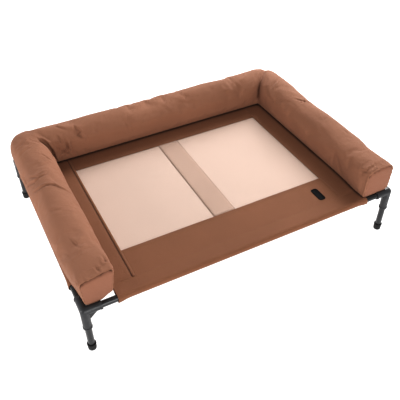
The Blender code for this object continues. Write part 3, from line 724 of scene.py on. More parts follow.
def band_top(side, x, inward, up):
    """The height of a band's flat part: its hem or roll, and the pull of the stitches."""
    from_edge = BAND_WIDTH[side] - inward
    if side == "left":
        rise, drop = ROLL_SLOPES
        roll = ease(from_edge, 0.0, rise) * fall(from_edge, ROLL_WIDTH - drop, ROLL_WIDTH)
        up += ROLL_RISE * roll - DITCH * bump(from_edge - ROLL_WIDTH, DITCH_WIDTH)
    else:
        up += HEM_RISE * fall(from_edge, HEM_WIDTH - HEM_EDGE, HEM_WIDTH + HEM_EDGE)
    if side == "right":
        up -= pressed(from_edge, *EDGE_PRESS)
    depth, width = STITCH_PULL
    up -= depth * bump(inward - SEAM_INSET, width)
    depth, width = STITCH_PUCKER
    ripple = noise.noise((x * 70, inward * 25, SIDES.index(side)))
    up += depth * bump(inward - SEAM_INSET, width) * ripple
    return up + 0.00012 * noise.noise((x * 14, inward * 14, 7.0))


def band_shape(side, x, inward, up, along_half, level):
    """A point of a band after sewing: hems, the pull of the stitches and the sleeve's open ends."""
    on_top = up > level - RAIL_HEIGHT - FIT / 2 and inward > TUBE_RADIUS
    if on_top:
        up = band_top(side, x, inward, up)
    if inward < SEAM_INSET - 0.002:
        reach = max(math.hypot(inward, up), 1e-6)
        low = max(-up / reach, 0.0)
        ripple = 0.5 + 0.5 * noise.noise((math.atan2(up, inward) * 2.0, x * 6, 3.0))
        near = fall(inward, TUBE_RADIUS, SEAM_INSET) * ease(abs(x), along_half - FLARE_LENGTH, along_half)
        wider = 1 + near * SLEEVE_FLARE * (0.25 + ripple + 1.2 * low) / reach
        inward, up = inward * wider, up * wider
    if on_top and abs(x) > along_half:
        up -= pressed(rail_length(side) / 2 - SEAM_INSET - abs(x), *TAB_PRESS)
    return inward, up


def sew_band(side, number, finish, tab_edge=None):
    """One cloth band with its sleeve round the rail. A band with tabs is T-shaped: its flat part
    runs on past the sleeve's ends."""
    level = MESH_LEVEL + number * LAYER
    width = BAND_WIDTH[side]
    half = rail_length(side) / 2 - SLEEVE_END
    hem = (0.0012, HEM_WIDTH - HEM_EDGE, HEM_WIDTH + HEM_EDGE)
    if side == "left":
        hem = (0.0012, 0.0030, 0.0062, 0.0070, ROLL_WIDTH, ROLL_WIDTH + 0.0010, 0.0105)
    line = sleeve_line(width, level, [width - back for back in hem] + ([tab_edge] if tab_edge else []))
    far = lengths_along(line)
    marks = [half, half - 0.0015, half - HEM_WIDTH, half - HEM_WIDTH - HEM_EDGE, 0.0]
    longest, area = half, 2 * half * far[-1]
    if tab_edge:
        longest = rail_length(side) / 2 - SEAM_INSET
        marks = [longest, longest - 0.001, longest - HEM_WIDTH] + marks
        area += 2 * (longest - half) * (width - tab_edge)
    stations = marks_between([-mark for mark in marks] + marks[-2::-1], CLOTH_STEP)
    place = rail_place(side)
    points = [[place @ Vector((x, *band_shape(side, x, inward, up, half, level))) for inward, up in line]
              for x in stations]
    flat = [[(x, length) for length in far] for x in stations]

    def cut(i, j):
        """Past the sleeve's ends only the tab is left."""
        past_sleeve = abs(stations[i] + stations[i + 1]) / 2 > half
        return not (past_sleeve and line[j + 1][0] < (tab_edge or width) - 1e-5) and not (
            past_sleeve and j > 0 and line[j + 1][1] < level - RAIL_HEIGHT - FIT / 2)

    bm = bmesh.new()
    lay_grid(bm, points, flat, keep=cut)
    band = make_piece(f"sling_{side}", bm, finish, "frame", [f"{side}_band"])
    face_up(band, max(band.data.polygons,
                      key=lambda face: face.area * (abs(face.center.z - level) < 0.002)))
    thicken(band, CLOTH)


def sew_sling(settings):
    """The four bands: front and back below, the T-shaped side bands over their ends."""
    finish = woven_finish("brown sling cloth", settings.sling_colour, settings.sling_pitch, 0.04,
                          rumple=0.0004)
    for side in ("front", "back"):
        sew_band(side, 1, finish)
    for side in ("left", "right"):
        sew_band(side, 2, finish, tab_edge=SLEEVE_END)


def stretch_mesh(settings):
    """The two airy panels and the strip that covers their join."""
    airy = airy_finish("pale airy mesh", settings.mesh_colour, settings.mesh_pitch)
    # painted crevice shade on the centre strip reaches only 0.3 mm
    plain = woven_finish("tan centre strip", settings.strip_colour, 0.0011, 0.12, patchy=0.03,
                         rumple=0.0003, shade_reach=0.0003)
    low, high = BOX["centre_strip"]

    def slack(x, y):
        return 0.00015 * noise.noise((x * 9, y * 9, 2.0)) - 0.0001

    def folded(x, y):
        from_edge = (high.x - low.x) / 2 - abs(x - (low.x + high.x) / 2)
        hem = 0.0003 * fall(from_edge, 0.006, 0.012) - 0.0002 * bump(from_edge - 0.003, 0.002)
        return hem - pressed(from_edge, *STRIP_PRESS)

    for side in ("left", "right"):
        flat_panel(f"airy_panel_{side}", f"mesh_{side}", CLOTH * 0.9, airy,
                   slack)
    flat_panel("centre_strip_cloth", "centre_strip", CLOTH, plain,
               folded)


def stitch_sling(settings):
    """Rows of thread: round the mesh, along the sleeves, the side bands' edges and the strip. The
    near-black row in the left band's ditch is stitching and painted ditch shadow.
    """
    thin, thick = bmesh.new(), bmesh.new()
    for side in SIDES:
        over_side = side in ("left", "right")
        height = MESH_LEVEL + (1 + over_side) * LAYER + CLOTH - RAIL_HEIGHT
        width = BAND_WIDTH[side]
        half = rail_length(side) / 2 - SLEEVE_END
        long_half = rail_length(side) / 2 - SEAM_INSET - ROW_END
        rows = [(thin, SEAM_INSET, half - ROW_END, height - 0.0003)]
        if side == "left":
            # painted shadow: a thick near-black row of stitches in the left band's ditch
            rows.append((thick, width - ROLL_WIDTH, long_half, height - DITCH / 2))
        elif side == "right":
            rows.append((thin, width - 0.006, long_half, height + HEM_RISE))
        else:
            inner = LENGTH / 2 - BAND_WIDTH["left"] - 0.001
            for back in (0.003, HEM_WIDTH - 0.001):
                rows.append((thin, width - back, inner, height + HEM_RISE))
        for bm, inward, reach, up in rows:
            marks = marks_between((-reach, reach), ROW_STEP)
            line = [rail_place(side) @ Vector((x, inward, up)) for x in marks]
            sew_row(bm, line, DITCH_SHADE_THREAD if bm is thick else THREAD_RADIUS)
    low, high = BOX["centre_strip"]
    for x in (low.x + 0.003, high.x - 0.003):
        sew_row(thin, [Vector((x, y, high.z - 0.0003)) for y in marks_between((low.y, high.y), ROW_STEP)])
    threads = (("sling_stitches", thin, "brown thread", settings.thread_colour),
               ("edge_stitches", thick, "dark thread", settings.ditch_shade_colour))
    for name, rows, finish, colour in threads:
        make_piece(name, rows, thread_finish(finish, colour), "frame")


def fix_patch(settings):
    """A bare rubber patch with a raised rim and rounded edges."""
    low, high = BOX["patch"]
    centre = (low + high) / 2
    half = (high - low) / 2
    bm = bmesh.new()
    rings = []
    for inset, z in ((0.0, low.z), *((inset, high.z - drop) for inset, drop in PATCH_RIM)):
        ring = []
        small = max(PATCH_CORNER - inset, 0.0005)
        for sx, sy, quarter in ((1, 1, 0), (-1, 1, 1), (-1, -1, 2), (1, -1, 3)):
            for i in range(9):
                angle = math.pi / 2 * (quarter + i / 8)
                x = sx * (half.x - inset - small) + small * math.cos(angle)
                y = sy * (half.y - inset - small) + small * math.sin(angle)
                ring.append(Vector((centre.x + x, centre.y + y, z)))
        rings.append(ring)
    verts = lay_rings(bm, rings, (0, 1))
    bm.faces.new(verts[0])
    bm.faces.new(verts[-1])
    rubber = moulded_finish("black patch rubber", settings.patch_colour, 0.65, 0.00003, shine=0.04)
    make_piece("patch_rubber", bm, rubber, "frame", ["patch"])


# Bolster


def half_outline(sign):
    """Half of the bolster in plan, from the left run's front end to the middle of the back run.
    Each ring is its run, its inner and outer ends, and how far these are from the mitre."""
    radius = CORNER_RADIUS[sign]
    centre = Vector((-OUTER_X + radius, OUTER_Y - radius))
    arc = radius * math.pi / 4
    turn_start = {"side": INNER_Y - FAN_LENGTH, "back": FAN_LENGTH - INNER_X}
    outer_turn = {"side": centre.y - turn_start["side"] + arc,
                  "back": turn_start["back"] - centre.x + arc}
    ways = {"side": Vector((0, -1)), "back": Vector((1, 0))}
    rings = []
    straight = turn_start["side"] - END_Y
    count = round(straight / RING_STEP)
    gaps = [END_ROUND * share for share in (0.0, 0.1, 0.35, 0.7, 1.2)]
    gaps += [straight * i / count for i in range(1, count)]
    for y in (END_Y + gap for gap in gaps):
        rings.append(("side", Vector((-INNER_X, y)), Vector((-OUTER_X, y)), INNER_Y - y, INNER_Y - y))
    for i in range(-FAN_STEPS, FAN_STEPS + 1):
        run = "side" if i < 0 else "back"
        near = abs(i) / FAN_STEPS * FAN_LENGTH
        far = abs(i) / FAN_STEPS * outer_turn[run]
        angle = math.radians(135) - math.copysign(min(far, arc) / radius, i)
        outer = centre + radius * Vector((math.cos(angle), math.sin(angle)))
        outer += ways[run] * max(far - arc, 0.0)
        rings.append((run, Vector((-INNER_X, INNER_Y)) + ways[run] * near, outer, near, far))
    count = round(-turn_start["back"] / RING_STEP)
    for x in (turn_start["back"] * (1 - i / count) for i in range(1, count + 1)):
        rings.append(("back", Vector((x, INNER_Y)), Vector((x, OUTER_Y)), INNER_X + x, INNER_X + x))
    return rings


def evenly(line, count):
    """Points at even distances round a closed line, from its first point on."""
    line = line + line[:1]
    far = lengths_along(line)
    marks = [far[-1] * i / count for i in range(count)]
    return list(zip(*(np.interp(marks, far, [point[axis] for point in line]) for axis in (0, 1))))


def section(square, sign, points):
    """The bolster's cross-section, as (across, height) shares, from the middle of its base up the
    inner side and over the top. square is 0 in the runs and 1 at the ends."""
    top_power = (TOP_POWER, END_POWER[sign])
    shape = []
    for i in range(6 * points):
        angle = math.tau * (i / (6 * points) - 0.25)
        c, s = math.cos(angle), math.sin(angle)
        powers = top_power if s > 0 else INNER_POWER if c > 0 else OUTER_POWER
        power = powers[0] + (powers[1] - powers[0]) * square
        reach = (1 - WAIST) if s > 0 else WAIST + BASE_FLAT
        across = 0.5 - 0.5 * math.copysign(abs(c) ** (2 / power), c)
        height = WAIST + reach * math.copysign(abs(s) ** (2 / power), s)
        shape.append((across, max(height, 0.0)))
    return evenly(shape, points)


def stuffed_ring(ring, sign, points=RING_POINTS):
    """One ring of the cover: full in the runs, pinched at the mitre and square at the end."""
    run, inner, outer, near, far = ring
    width = (outer - inner).length
    gap = inner.y - END_Y if run == "side" else 1.0
    at_end = fall(gap, 0.0, END_LENGTH)
    rise = SIDE_RISE
    if run == "back":
        rise += (BACK_RISE - SIDE_RISE) * ease(near, 0.08, 0.32) - BACK_SINK * ease(near, 0.12, 0.40)
    else:
        rise += SHOULDER[sign] * bump(near - 0.11, 0.07)
    rounding = END_ROUND - math.sqrt(max(END_ROUND**2 - max(END_ROUND - gap, 0.0) ** 2, 0.0))
    made = []
    for across, height in section(at_end**2, sign, points):
        away = near + (far - near) * across
        fade = 1 - MITRE_FADE[sign] * ease(across, *MITRE_END[sign])
        pinch = MITRE_DEPTH[sign] * bump(away, MITRE_WIDTH[sign, run])
        pinch += SADDLE[sign] * bump(away, SADDLE_WIDTH)
        lift = END_LIFT[sign] * fall(gap, 0.0, LIFT_LENGTH)
        lift *= fall(across, 0.0, 0.5) * fall(height, 0.1, 0.7)
        tall = rise * (1 - pinch * fade) - rounding - SLIM
        tall -= (END_DROP[sign] + END_SLOPE[sign] * across) * at_end
        drawn = [rounding + at_end * (low + (high - low) * height) for low, high in END_DRAWN[sign]]
        tuck, tuck_width = MITRE_TUCK
        drawn[0] += tuck * bump(away, tuck_width) * ease(height, 0.2, 0.5) * fall(across, 0.25, 0.6)
        drawn[1] += SLIM
        share = (drawn[0] + across * (width - drawn[0] - drawn[1])) / width
        plan = inner.lerp(outer, share)
        lean = (END_LEAN * (height - 0.5) + END_REACH[sign]) * fall(gap, 0.0, REACH_LENGTH)
        if run == "back":
            lean -= BACK_BELLY * ease(near, 0.1, 0.45) * across * math.sin(math.pi * height)
        lift -= SAG * fall(across, 0.06, 0.17) * fall(height, 0.0, 0.1) * ease(gap, 0.01, 0.05)
        made.append(Vector((-sign * plan.x, plan.y - lean, BASE + lift + height * (tall - lift))))
    return made


def on_cover(run, along, clock):
    """A point just off the skin: along is X on the back run and Y on a side run, and clock goes
    from the inner side (0) over the top to the outer side (1)."""
    across = 0.5 - 0.55 * math.cos(math.pi * clock)
    height = BASE + SIDE_RISE * (0.35 + 0.7 * math.sin(math.pi * clock))
    if run == "back":
        return Vector((along, INNER_Y + across * (OUTER_Y - INNER_Y), height))
    side = -1 if run == "left" else 1
    return Vector((side * (INNER_X + across * (OUTER_X - INNER_X)), along, height))


def inner_ring(lip, sign, inset, sunk, forward=0.0):
    """A ring inside an end's rim: sunk is its depth in the seam, which is deep only along the top."""
    centre = sum(lip, Vector()) / len(lip)
    scale = 1 - inset / END_HALF
    ring = []
    for number, point in enumerate(lip):
        round_share = number / len(lip)
        high = ease(round_share, 0.345, 0.385) * fall(round_share, 0.615, 0.655)
        pit = sum(bump(point.x - place, PIT_WIDTH) for place in END_PITS[sign]) * high
        depth = sunk * (0.03 + 0.85 * END_SEAM[sign] * high + 0.9 * pit)
        ring.append(centre + (point - centre) * scale + Vector((0, depth - forward, 0)))
    return ring


def cover_mesh():
    """The whole cover as one closed skin: left run, back run and right run joined at the mitres."""
    runs = {}
    for sign in (-1, 1):
        half = {"side": [], "back": []}
        for ring in half_outline(sign):
            half[ring[0]].append(stuffed_ring(ring, sign))
        rim = [inner_ring(half["side"][0], sign, *step) for step in RIM_RINGS]
        runs[sign] = (rim + half["side"] + half["back"][:1], half["back"])
    back = runs[-1][1] + runs[1][1][-2::-1]
    bm = bmesh.new()
    for axis, rings in ((1, runs[-1][0]), (1, runs[1][0]), (0, back)):
        middle = rings[len(rings) // 2]
        around = lengths_along(middle + middle[:1])
        flat = [[(point[axis], v) for point, v in zip(ring + ring[:1], around)] for ring in rings]
        verts = lay_grid(bm, rings, flat, closed=True)
        if rings is not back:  # closes an end
            bm.faces.new(verts[0])
    bmesh.ops.remove_doubles(bm, verts=bm.verts, dist=1e-6)
    return bm


def held_points(mesh):
    """How firmly each vertex is held while the stuffing swells: seams, base and ends stay."""
    held = []
    for vert in mesh.vertices:
        x, y, z = vert.co
        base = fall(z, BASE + 0.004, BASE + 0.016)
        end = fall(y, END_Y + 0.001, END_Y + 0.012)
        corner = Vector((abs(x) - INNER_X, y - INNER_Y))
        from_mitre = abs(corner.x - corner.y) / math.sqrt(2) if min(corner) > -0.02 else 1.0
        reach = max(corner.x, corner.y) / (OUTER_X - INNER_X)
        mitre = fall(from_mitre, 0.001, 0.006) * (1 - 0.7 * ease(reach, 0.3, 0.8))
        held.append(max(base, end, mitre))
    return held


def stuff(piece, pressure, cap, slack):
    """Swells a cover with Blender's cloth, then keeps each point within cap of where it was."""
    start = np.array([vert.co for vert in piece.data.vertices])
    group = piece.vertex_groups.new(name="held")
    for index, weight in enumerate(held_points(piece.data)):
        group.add([index], weight, "REPLACE")
    cloth = piece.modifiers.new("stuffing", "CLOTH")
    rules = cloth.settings
    for name, value in STUFFING.items():
        setattr(rules, name, value)
    rules.uniform_pressure_force = pressure
    rules.shrink_min = -slack
    rules.vertex_group_mass = group.name
    rules.effector_weights.gravity = 0
    cloth.collision_settings.use_collision = False
    cloth.collision_settings.use_self_collision = False
    scene = bpy.context.scene
    for number in range(1, SWELL_FRAMES + 1):
        scene.frame_set(number)
    graph = bpy.context.evaluated_depsgraph_get()
    swollen = np.array([vert.co for vert in piece.evaluated_get(graph).data.vertices])
    piece.modifiers.remove(cloth)
    piece.vertex_groups.clear()
    scene.frame_set(1)
    move = swollen - start
    length = np.linalg.norm(move, axis=1, keepdims=True)
    place_points(piece, start + move * np.minimum(1.0, cap / np.maximum(length, 1e-9)))


def place_points(piece, places):
    """Moves a piece's vertices to new places."""
    piece.data.vertices.foreach_set("co", np.array(places, np.float32).ravel())
    piece.data.update()


def along_fold(line, spots, normals):
    """How far each spot lies from a line, with its side as the sign, and how far along, 0 to 1."""
    far = lengths_along(line)
    nearest = np.full(len(spots), 1.0)
    along = np.zeros(len(spots))
    for a, b, at in zip(line, line[1:], far):
        way = np.array(b - a)
        length = np.linalg.norm(way)
        share = np.clip((spots - np.array(a)) @ way / length**2, 0, 1)
        off = spots - (np.array(a) + share[:, None] * way)
        apart = np.linalg.norm(off, axis=1) * np.sign(np.sum(off * np.cross(normals, way), axis=1))
        closer = np.abs(apart) < np.abs(nearest)
        nearest[closer] = apart[closer]
        along[closer] = ((at + share * length) / far[-1])[closer]
    return nearest, along


def press_folds(piece):
    """Presses the creases into the cover. One side of a crease stands higher than the other."""
    mesh = piece.data
    spots = np.array([vert.co for vert in mesh.vertices])
    normals = np.array([vert.normal for vert in mesh.vertices])
    tree = BVHTree.FromPolygons([v.co for v in mesh.vertices], [p.vertices for p in mesh.polygons])
    move = np.zeros(len(spots))
    for run, folds in FOLDS.items():
        for depth, width, *places in folds:
            depth, width = depth / 1000, width / 1000
            line = spaced([on_cover(run, along / 1000, clock / 100) for along, clock in places], 0.01)
            line = [tree.find_nearest(point)[0] for point in line]
            nearest, along = along_fold(line, spots, normals)
            fading = np.clip(np.minimum(along, 1 - along) / 0.3, 0.0, 1) ** 0.8
            profile = -np.exp(-((np.abs(nearest) / width) ** 1.4))
            for rim, place, wide in FOLD_RIMS:
                profile += rim * np.exp(-(((nearest / width - place) / wide) ** 2))
            move += depth * fading * profile
    place_points(piece, spots + normals * move[:, None])


def rumple(piece):
    """Soft unevenness of the stuffing, and puckers along the end seams."""
    places = []
    for vert in piece.data.vertices:
        point = vert.co
        free = ease(point.z, BASE + 0.004, BASE + 0.02)
        soft = sum(height * noise.noise(point * scale + Vector((shift, 0, 0)))
                   for height, scale, shift in LUMPS)
        where = Vector((point.x * 9, point.y * 9, point.z * 14))
        crease = max(0.0, 1 - abs(noise.noise(where)) / 0.07)
        soft -= WRINKLE * crease * ease(noise.noise(point * 6 + Vector((0, 5, 0))), -0.1, 0.35)
        around = math.atan2(point.z - BASE - SIDE_RISE / 2, abs(point.x) - (INNER_X + OUTER_X) / 2)
        pucker = noise.noise(Vector((around * 5.5, point.y * 8, math.copysign(9, point.x))))
        soft += PUCKER * pucker * fall(point.y, END_Y - 0.002, END_Y + 0.020)
        places.append(point + vert.normal * free * soft)
    place_points(piece, places)


def tuck_zip_slot(piece):
    """Folds the cover up along the zip, in the underside of the back run."""
    low, high = BOX["zip_tape"]
    middle = (low + high) / 2
    half = (high - low) / 2
    near, clear = ZIP_FOLD
    for vert in piece.data.vertices:
        if vert.co.z <= BASE + 0.004:
            across = fall(abs(vert.co.y - middle.y), half.y + near, half.y + clear)
            along = fall(abs(vert.co.x - middle.x), half.x + near, half.x + clear)
            vert.co.z += (high.z + FIT - BASE) * across * along
    piece.data.update()


def stuff_bolster(settings):
    """The cover is laid out, swollen by its stuffing, smoothed, creased and rumpled."""
    finish = woven_finish("brown bolster cloth", settings.bolster_colour, settings.bolster_pitch, 0.05,
                          rumple=0.0004, creases=0.0005)
    cover = make_piece("bolster_cover", cover_mesh(), finish, "bolster",
                       ["bolster_left", "bolster_back", "bolster_right"])
    stuff(cover, settings.pressure, settings.swell, settings.slack)
    smooth = cover.modifiers.new("smooth", "SUBSURF")
    smooth.levels = smooth.render_levels = 1
    settle_modifiers(cover)
    press_folds(cover)
    rumple(cover)
    tuck_zip_slot(cover)


def sew_end_panels(settings):
    """The flat fronts of the side runs, drawn into their seams along the top."""
    # painted shade: the end panels are the bolster's cloth in a slightly darker copy
    finish = woven_finish("brown end cloth", settings.end_shade_colour, settings.bolster_pitch, 0.05,
                          rumple=0.0003)
    for side, sign in (("left", -1), ("right", 1)):
        lip = stuffed_ring(half_outline(sign)[0], sign, points=2 * RING_POINTS)
        rings = []
        for inset, sunk, forward in PANEL_RINGS:
            ring = inner_ring(lip, sign, inset, sunk, forward)
            for number, point in enumerate(ring):
                turn = math.tau * number / len(ring)
                way = Vector((math.cos(turn) * 4.2, math.sin(turn) * 4.2, sign * 5.0))
                point.y -= GATHER * noise.noise(way) * fall(inset, 0.0025, 0.018)
            rings.append(ring)
        bm = bmesh.new()
        verts = lay_rings(bm, rings, (0, 2))
        uv = bm.loops.layers.uv["cloth"]
        for ring in (verts[0], verts[-1]):
            for loop in bm.faces.new(ring).loops:
                loop[uv].uv = (loop.vert.co.x, loop.vert.co.z)
        panel = make_piece(f"end_cloth_{side}", bm, finish, "bolster", [f"end_panel_{side}"])


def fit_touch_strips(settings):
    """Loop strips on the sling and hook strips on the bolster's base."""
    finishes = {kind: fuzzy_finish(f"brown {kind} tape", shade_of(settings.tape_colour, shade), tufts)
                for kind, (_, shade, tufts) in TOUCH_STRIPS.items()}
    for side in ("left", "back", "right"):
        for kind, finish in finishes.items():
            low, high = BOX[f"{kind}_strip_{side}"]
            flat_panel(f"{kind}_tape_{side}", f"{kind}_strip_{side}", high.z - low.z, finish,
                       body=TOUCH_STRIPS[kind][0])


def fit_zip(settings):
    """The zip's woven tape and its two rows of teeth, closed on a bead that the slider holds."""
    low, high = BOX["zip_tape"]
    top = high.z - ZIP_TAPE
    finish = woven_finish("brown zip tape", settings.tape_colour, 0.0006, 0.2, patchy=0.03)
    flat_panel("zip_tape_cloth", "zip_tape", ZIP_TAPE, finish,
               body="bolster", level=top)
    middle = (low.y + high.y) / 2
    bead_top = top - ZIP_NECK
    bead_low = bead_top - ZIP_BEAD
    reach = high.x - ZIP_END
    tooth = ((0.0019, top + 0.0001), (0.0019, bead_top - 0.0003), (0.0015, bead_low),
             (-0.0006, bead_low), (-0.0010, bead_low + 0.0007), (-0.0006, bead_top),
             (0.0009, bead_top), (0.0009, top + 0.0001))
    bm = bmesh.new()
    for number in range(int(2 * (reach - ZIP_STOP) / ZIP_TOOTH)):
        x = -reach + ZIP_STOP + ZIP_TOOTH * (number + 0.5)
        sign = 1 if number % 2 else -1
        loft(bm, [[(x + end, middle + sign * y, z) for y, z in tooth]
                  for end in (-ZIP_TOOTH * TOOTH_SHARE, ZIP_TOOTH * TOOTH_SHARE)])
    for sign in (-1, 1):
        place = Matrix.Translation((sign * (reach - ZIP_STOP / 2), middle, (top + low.z) / 2))
        size = Matrix.Diagonal((ZIP_STOP * 0.9, ZIP_STOP_WIDTH, top - low.z, 1.0))
        bmesh.ops.create_cube(bm, size=1.0, matrix=place @ size)
    teeth = make_piece("zip_teeth", bm, metal_finish("dark zip teeth", settings.teeth_colour), "bolster")
    soften = teeth.modifiers.new("soften", "BEVEL")
    soften.width = 0.0001
    soften.segments = 1


# Stage


def set_stage(settings):
    """A pale seamless floor, a softly lit room, three soft boxes and the camera at the
    photograph's angle."""
    scene = bpy.context.scene
    bm = bmesh.new()
    marks = [FLOOR_HALF * (2 * i / FLOOR_STEPS - 1) for i in range(FLOOR_STEPS + 1)]
    lay_grid(bm, [[(x, y, 0.0) for x in marks] for y in marks], [[(x, y) for x in marks] for y in marks])
    floor = make_object("studio floor", bm, floor_finish("seamless paper", settings.floor_colour,
                                                         settings.floor_glow))
    face_up(floor, floor.data.polygons[0])

    world = bpy.data.worlds.new("soft room")
    world.use_nodes = True
    sky = world.node_tree.nodes["Background"]
    sky.inputs["Color"].default_value = (*settings.sky_colour, 1.0)
    sky.inputs["Strength"].default_value = settings.sky_strength
    scene.world = world
    for name, (place, size) in LIGHTS.items():
        light = bpy.data.lights.new(name, "AREA")
        light.size = size
        light.energy = getattr(settings, f"{name}_power")
        lamp = bpy.data.objects.new(name, light)
        lamp.location = place
        lamp.rotation_euler = (LIGHTS_AIM - Vector(place)).to_track_quat("-Z", "Y").to_euler()
        scene.collection.objects.link(lamp)

    lens = bpy.data.cameras.new("camera")
    lens.sensor_width = SENSOR_WIDTH
    lens.lens = settings.lens
    camera = bpy.data.objects.new("camera", lens)
    turn = Matrix.Rotation(-settings.camera_turn, 4, "Z") @ Matrix.Rotation(
        math.pi / 2 - settings.camera_dip, 4, "X") @ Matrix.Rotation(settings.camera_roll, 4, "Z")
    camera.matrix_world = Matrix.Translation(settings.camera_place) @ turn
    scene.collection.objects.link(camera)
    scene.camera = camera
    view = scene.view_settings
    view.view_transform = "Standard"
    view.exposure = settings.exposure
    view.gamma = settings.contrast


# Settings


def number_setting(name, description, default, **kind):
    return bpy.props.FloatProperty(name=name, description=description, default=default, **kind)


def colour_setting(name, description, default):
    return bpy.props.FloatVectorProperty(name=name, description=description, default=default,
                                         subtype="COLOR", size=3, min=0.0, max=1.0)


def length_setting(name, description, default):
    return number_setting(name, description, default, min=0.0, precision=5, subtype="DISTANCE",
                          unit="LENGTH")


def power_setting(name, description, default):
    return number_setting(name, description, default, min=0.0, subtype="POWER", unit="POWER")


def angle_setting(name, description, default):
    return number_setting(name, description, math.radians(default), subtype="ANGLE", unit="ROTATION")


class SofaFrameSettings(bpy.types.PropertyGroup):
    """Paint and plastic of the frame."""

    tube_colour: colour_setting("Tube", "Powder coat on the rails and legs", (0.016, 0.016, 0.017))
    corner_colour: colour_setting("Connectors", "Plastic of the corners", (0.030, 0.030, 0.032))
    foot_colour: colour_setting("Feet", "Rubber of the foot caps", (0.009, 0.009, 0.009))
    zip_colour: colour_setting("Zip slider", "Plated metal of the slider", (0.060, 0.058, 0.056))
    gloss: number_setting("Tube roughness", "How dull the powder coat is, 0 to 1", 0.29)


class SofaClothSettings(bpy.types.PropertyGroup):
    """Cloths, thread and stuffing."""

    bolster_colour: colour_setting("Bolster", "Cloth of the bolster's cover", (0.322, 0.154, 0.093))
    # painted shade: a slightly darker copy of the bolster's cloth for the end faces
    end_shade_colour: colour_setting("End panels", "Cloth of the bolster's ends", (0.306, 0.141, 0.088))
    sling_colour: colour_setting("Sling", "Cloth of the four bands", (0.256, 0.113, 0.060))
    mesh_colour: colour_setting("Mesh", "Airy panels", (0.668, 0.496, 0.408))
    strip_colour: colour_setting("Centre strip", "Strip over the panels' join", (0.552, 0.387, 0.308))
    thread_colour: colour_setting("Thread", "Sewing thread of the bands", (0.235, 0.105, 0.060))
    # painted shadow: the ditch thread's near-black colour stands in for the ditch's shade
    ditch_shade_colour: colour_setting("Ditch shade thread", "Thread along the left band", (0.030, 0.014, 0.010))
    tape_colour: colour_setting("Tape", "Touch strips and zip tape", (0.090, 0.042, 0.028))
    teeth_colour: colour_setting("Zip teeth", "Plated metal of the teeth", (0.060, 0.058, 0.056))
    patch_colour: colour_setting("Patch", "Rubber of the bare patch", (0.006, 0.006, 0.0065))
    bolster_pitch: length_setting("Bolster weave", "Width of one thread", 0.0006)
    sling_pitch: length_setting("Sling weave", "Width of one thread", 0.0009)
    mesh_pitch: length_setting("Mesh pitch", "Between two holes", 0.0021)
    pressure: number_setting("Stuffing", "How hard the stuffing presses on the cover", 4.0)
    swell: length_setting("Swell limit", "Furthest that the stuffing moves the cover", 0.0048)
    slack: number_setting("Cloth slack", "Spare cloth in the cover, as a share", 0.016)


class SofaStageSettings(bpy.types.PropertyGroup):
    """Floor, light and camera."""

    floor_colour: colour_setting("Floor", "Seamless paper", (0.36, 0.36, 0.36))
    floor_glow: number_setting("Floor glow", "Light that the paper gives back from below", 0.88)
    sky_colour: colour_setting("Room light", "Colour of the soft light all round", (1.0, 1.0, 1.0))
    sky_strength: number_setting("Room strength", "Soft light from all round", 0.50)
    key_power: power_setting("Key light", "Soft box behind, on the right", 194.0)
    left_power: power_setting("Left light", "Low soft box on the left", 31.0)
    front_power: power_setting("Front light", "Low soft box in front", 45.0)
    exposure: number_setting("Exposure", "Brightness of the picture, in stops", 0.15)
    contrast: number_setting("Contrast", "Lower values deepen the middle tones", 0.80)
    lens: number_setting("Lens", "Focal length in millimetres", 49.37)
    camera_place: bpy.props.FloatVectorProperty(
        name="Camera", description="Where the camera stands", default=(-0.6728, -1.3339, 1.3787),
        subtype="TRANSLATION", unit="LENGTH")
    camera_turn: angle_setting("Turn", "How far the camera is turned to the right", 27.36)
    camera_dip: angle_setting("Dip", "How far the camera looks down", 41.50)
    camera_roll: angle_setting("Roll", "How far the camera leans", -0.35)


# Operators


class SOFA_OT_stage(bpy.types.Operator):
    """Sets the floor, the lights and the camera"""

    bl_idname = "sofa.stage"
    bl_label = "Set the Stage"

    def execute(self, context):
        set_stage(context.scene.sofa_stage)
        return {"FINISHED"}


class SOFA_OT_frame(bpy.types.Operator):
    """Paints the tubes and finishes the connectors, feet and zip slider"""

    bl_idname = "sofa.frame"
    bl_label = "Finish the Frame"

    def execute(self, context):
        paint_frame(context.scene.sofa_frame)
        return {"FINISHED"}


class SOFA_OT_sling(bpy.types.Operator):
    """Sews the four bands round the rails"""

    bl_idname = "sofa.sling"
    bl_label = "Sew the Sling"

    def execute(self, context):
        sew_sling(context.scene.sofa_cloth)
        return {"FINISHED"}


class SOFA_OT_mesh(bpy.types.Operator):
    """Stretches the airy panels and the centre strip"""

    bl_idname = "sofa.mesh"
    bl_label = "Stretch the Mesh"

    def execute(self, context):
        stretch_mesh(context.scene.sofa_cloth)
        return {"FINISHED"}


class SOFA_OT_stitches(bpy.types.Operator):
    """Sews the rows of stitches on the sling"""

    bl_idname = "sofa.stitches"
    bl_label = "Stitch the Sling"

    def execute(self, context):
        stitch_sling(context.scene.sofa_cloth)
        return {"FINISHED"}


class SOFA_OT_patch(bpy.types.Operator):
    """Fixes the bare rubber patch to the front band"""

    bl_idname = "sofa.patch"
    bl_label = "Fix the Patch"

    def execute(self, context):
        fix_patch(context.scene.sofa_cloth)
        return {"FINISHED"}


class SOFA_OT_bolster(bpy.types.Operator):
    """Stuffs and creases the bolster's cover"""

    bl_idname = "sofa.bolster"
    bl_label = "Stuff the Bolster"

    def execute(self, context):
        stuff_bolster(context.scene.sofa_cloth)
        return {"FINISHED"}


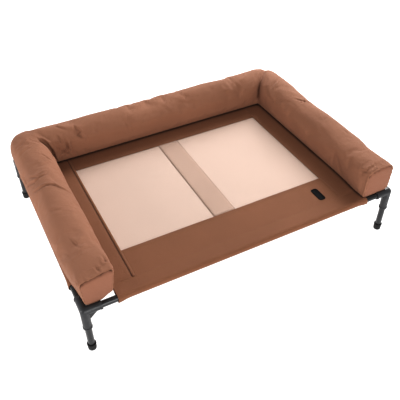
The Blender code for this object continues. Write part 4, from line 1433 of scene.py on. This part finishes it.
class SOFA_OT_ends(bpy.types.Operator):
    """Sews the end panels into the bolster"""

    bl_idname = "sofa.ends"
    bl_label = "Sew the End Panels"

    def execute(self, context):
        sew_end_panels(context.scene.sofa_cloth)
        return {"FINISHED"}


class SOFA_OT_tapes(bpy.types.Operator):
    """Fits the touch strips under the bolster"""

    bl_idname = "sofa.tapes"
    bl_label = "Fit the Touch Strips"

    def execute(self, context):
        fit_touch_strips(context.scene.sofa_cloth)
        return {"FINISHED"}


class SOFA_OT_zip(bpy.types.Operator):
    """Fits the zip's tape and teeth"""

    bl_idname = "sofa.zip"
    bl_label = "Fit the Zip"

    def execute(self, context):
        fit_zip(context.scene.sofa_cloth)
        return {"FINISHED"}


STEPS = (SOFA_OT_stage, SOFA_OT_frame, SOFA_OT_sling, SOFA_OT_mesh, SOFA_OT_stitches, SOFA_OT_patch,
         SOFA_OT_bolster, SOFA_OT_ends, SOFA_OT_tapes, SOFA_OT_zip)


class SOFA_PT_panel(bpy.types.Panel):
    """Lists the steps that finish the sofa"""

    bl_idname = "SOFA_PT_panel"
    bl_label = "Dog Sofa"
    bl_space_type = "VIEW_3D"
    bl_region_type = "UI"
    bl_category = "Dog Sofa"

    def draw(self, context):
        for step in STEPS:
            self.layout.operator(step.bl_idname)
        for group in GROUPS:
            settings = getattr(context.scene, group)
            box = self.layout.box()
            for name in settings.__annotations__:
                box.prop(settings, name)


GROUPS = {"sofa_frame": SofaFrameSettings, "sofa_cloth": SofaClothSettings,
          "sofa_stage": SofaStageSettings}


def register():
    for made in (*GROUPS.values(), *STEPS, SOFA_PT_panel):
        bpy.utils.register_class(made)
    for name, group in GROUPS.items():
        setattr(bpy.types.Scene, name, bpy.props.PointerProperty(type=group))


def unregister():
    for name in GROUPS:
        delattr(bpy.types.Scene, name)
    for made in (SOFA_PT_panel, *reversed(STEPS), *reversed(GROUPS.values())):
        bpy.utils.unregister_class(made)


def main():
    """Runs every step in order."""
    register()
    for step in STEPS:
        group, name = step.bl_idname.split(".")
        getattr(getattr(bpy.ops, group), name)()


if __name__ == "__main__":
    main()
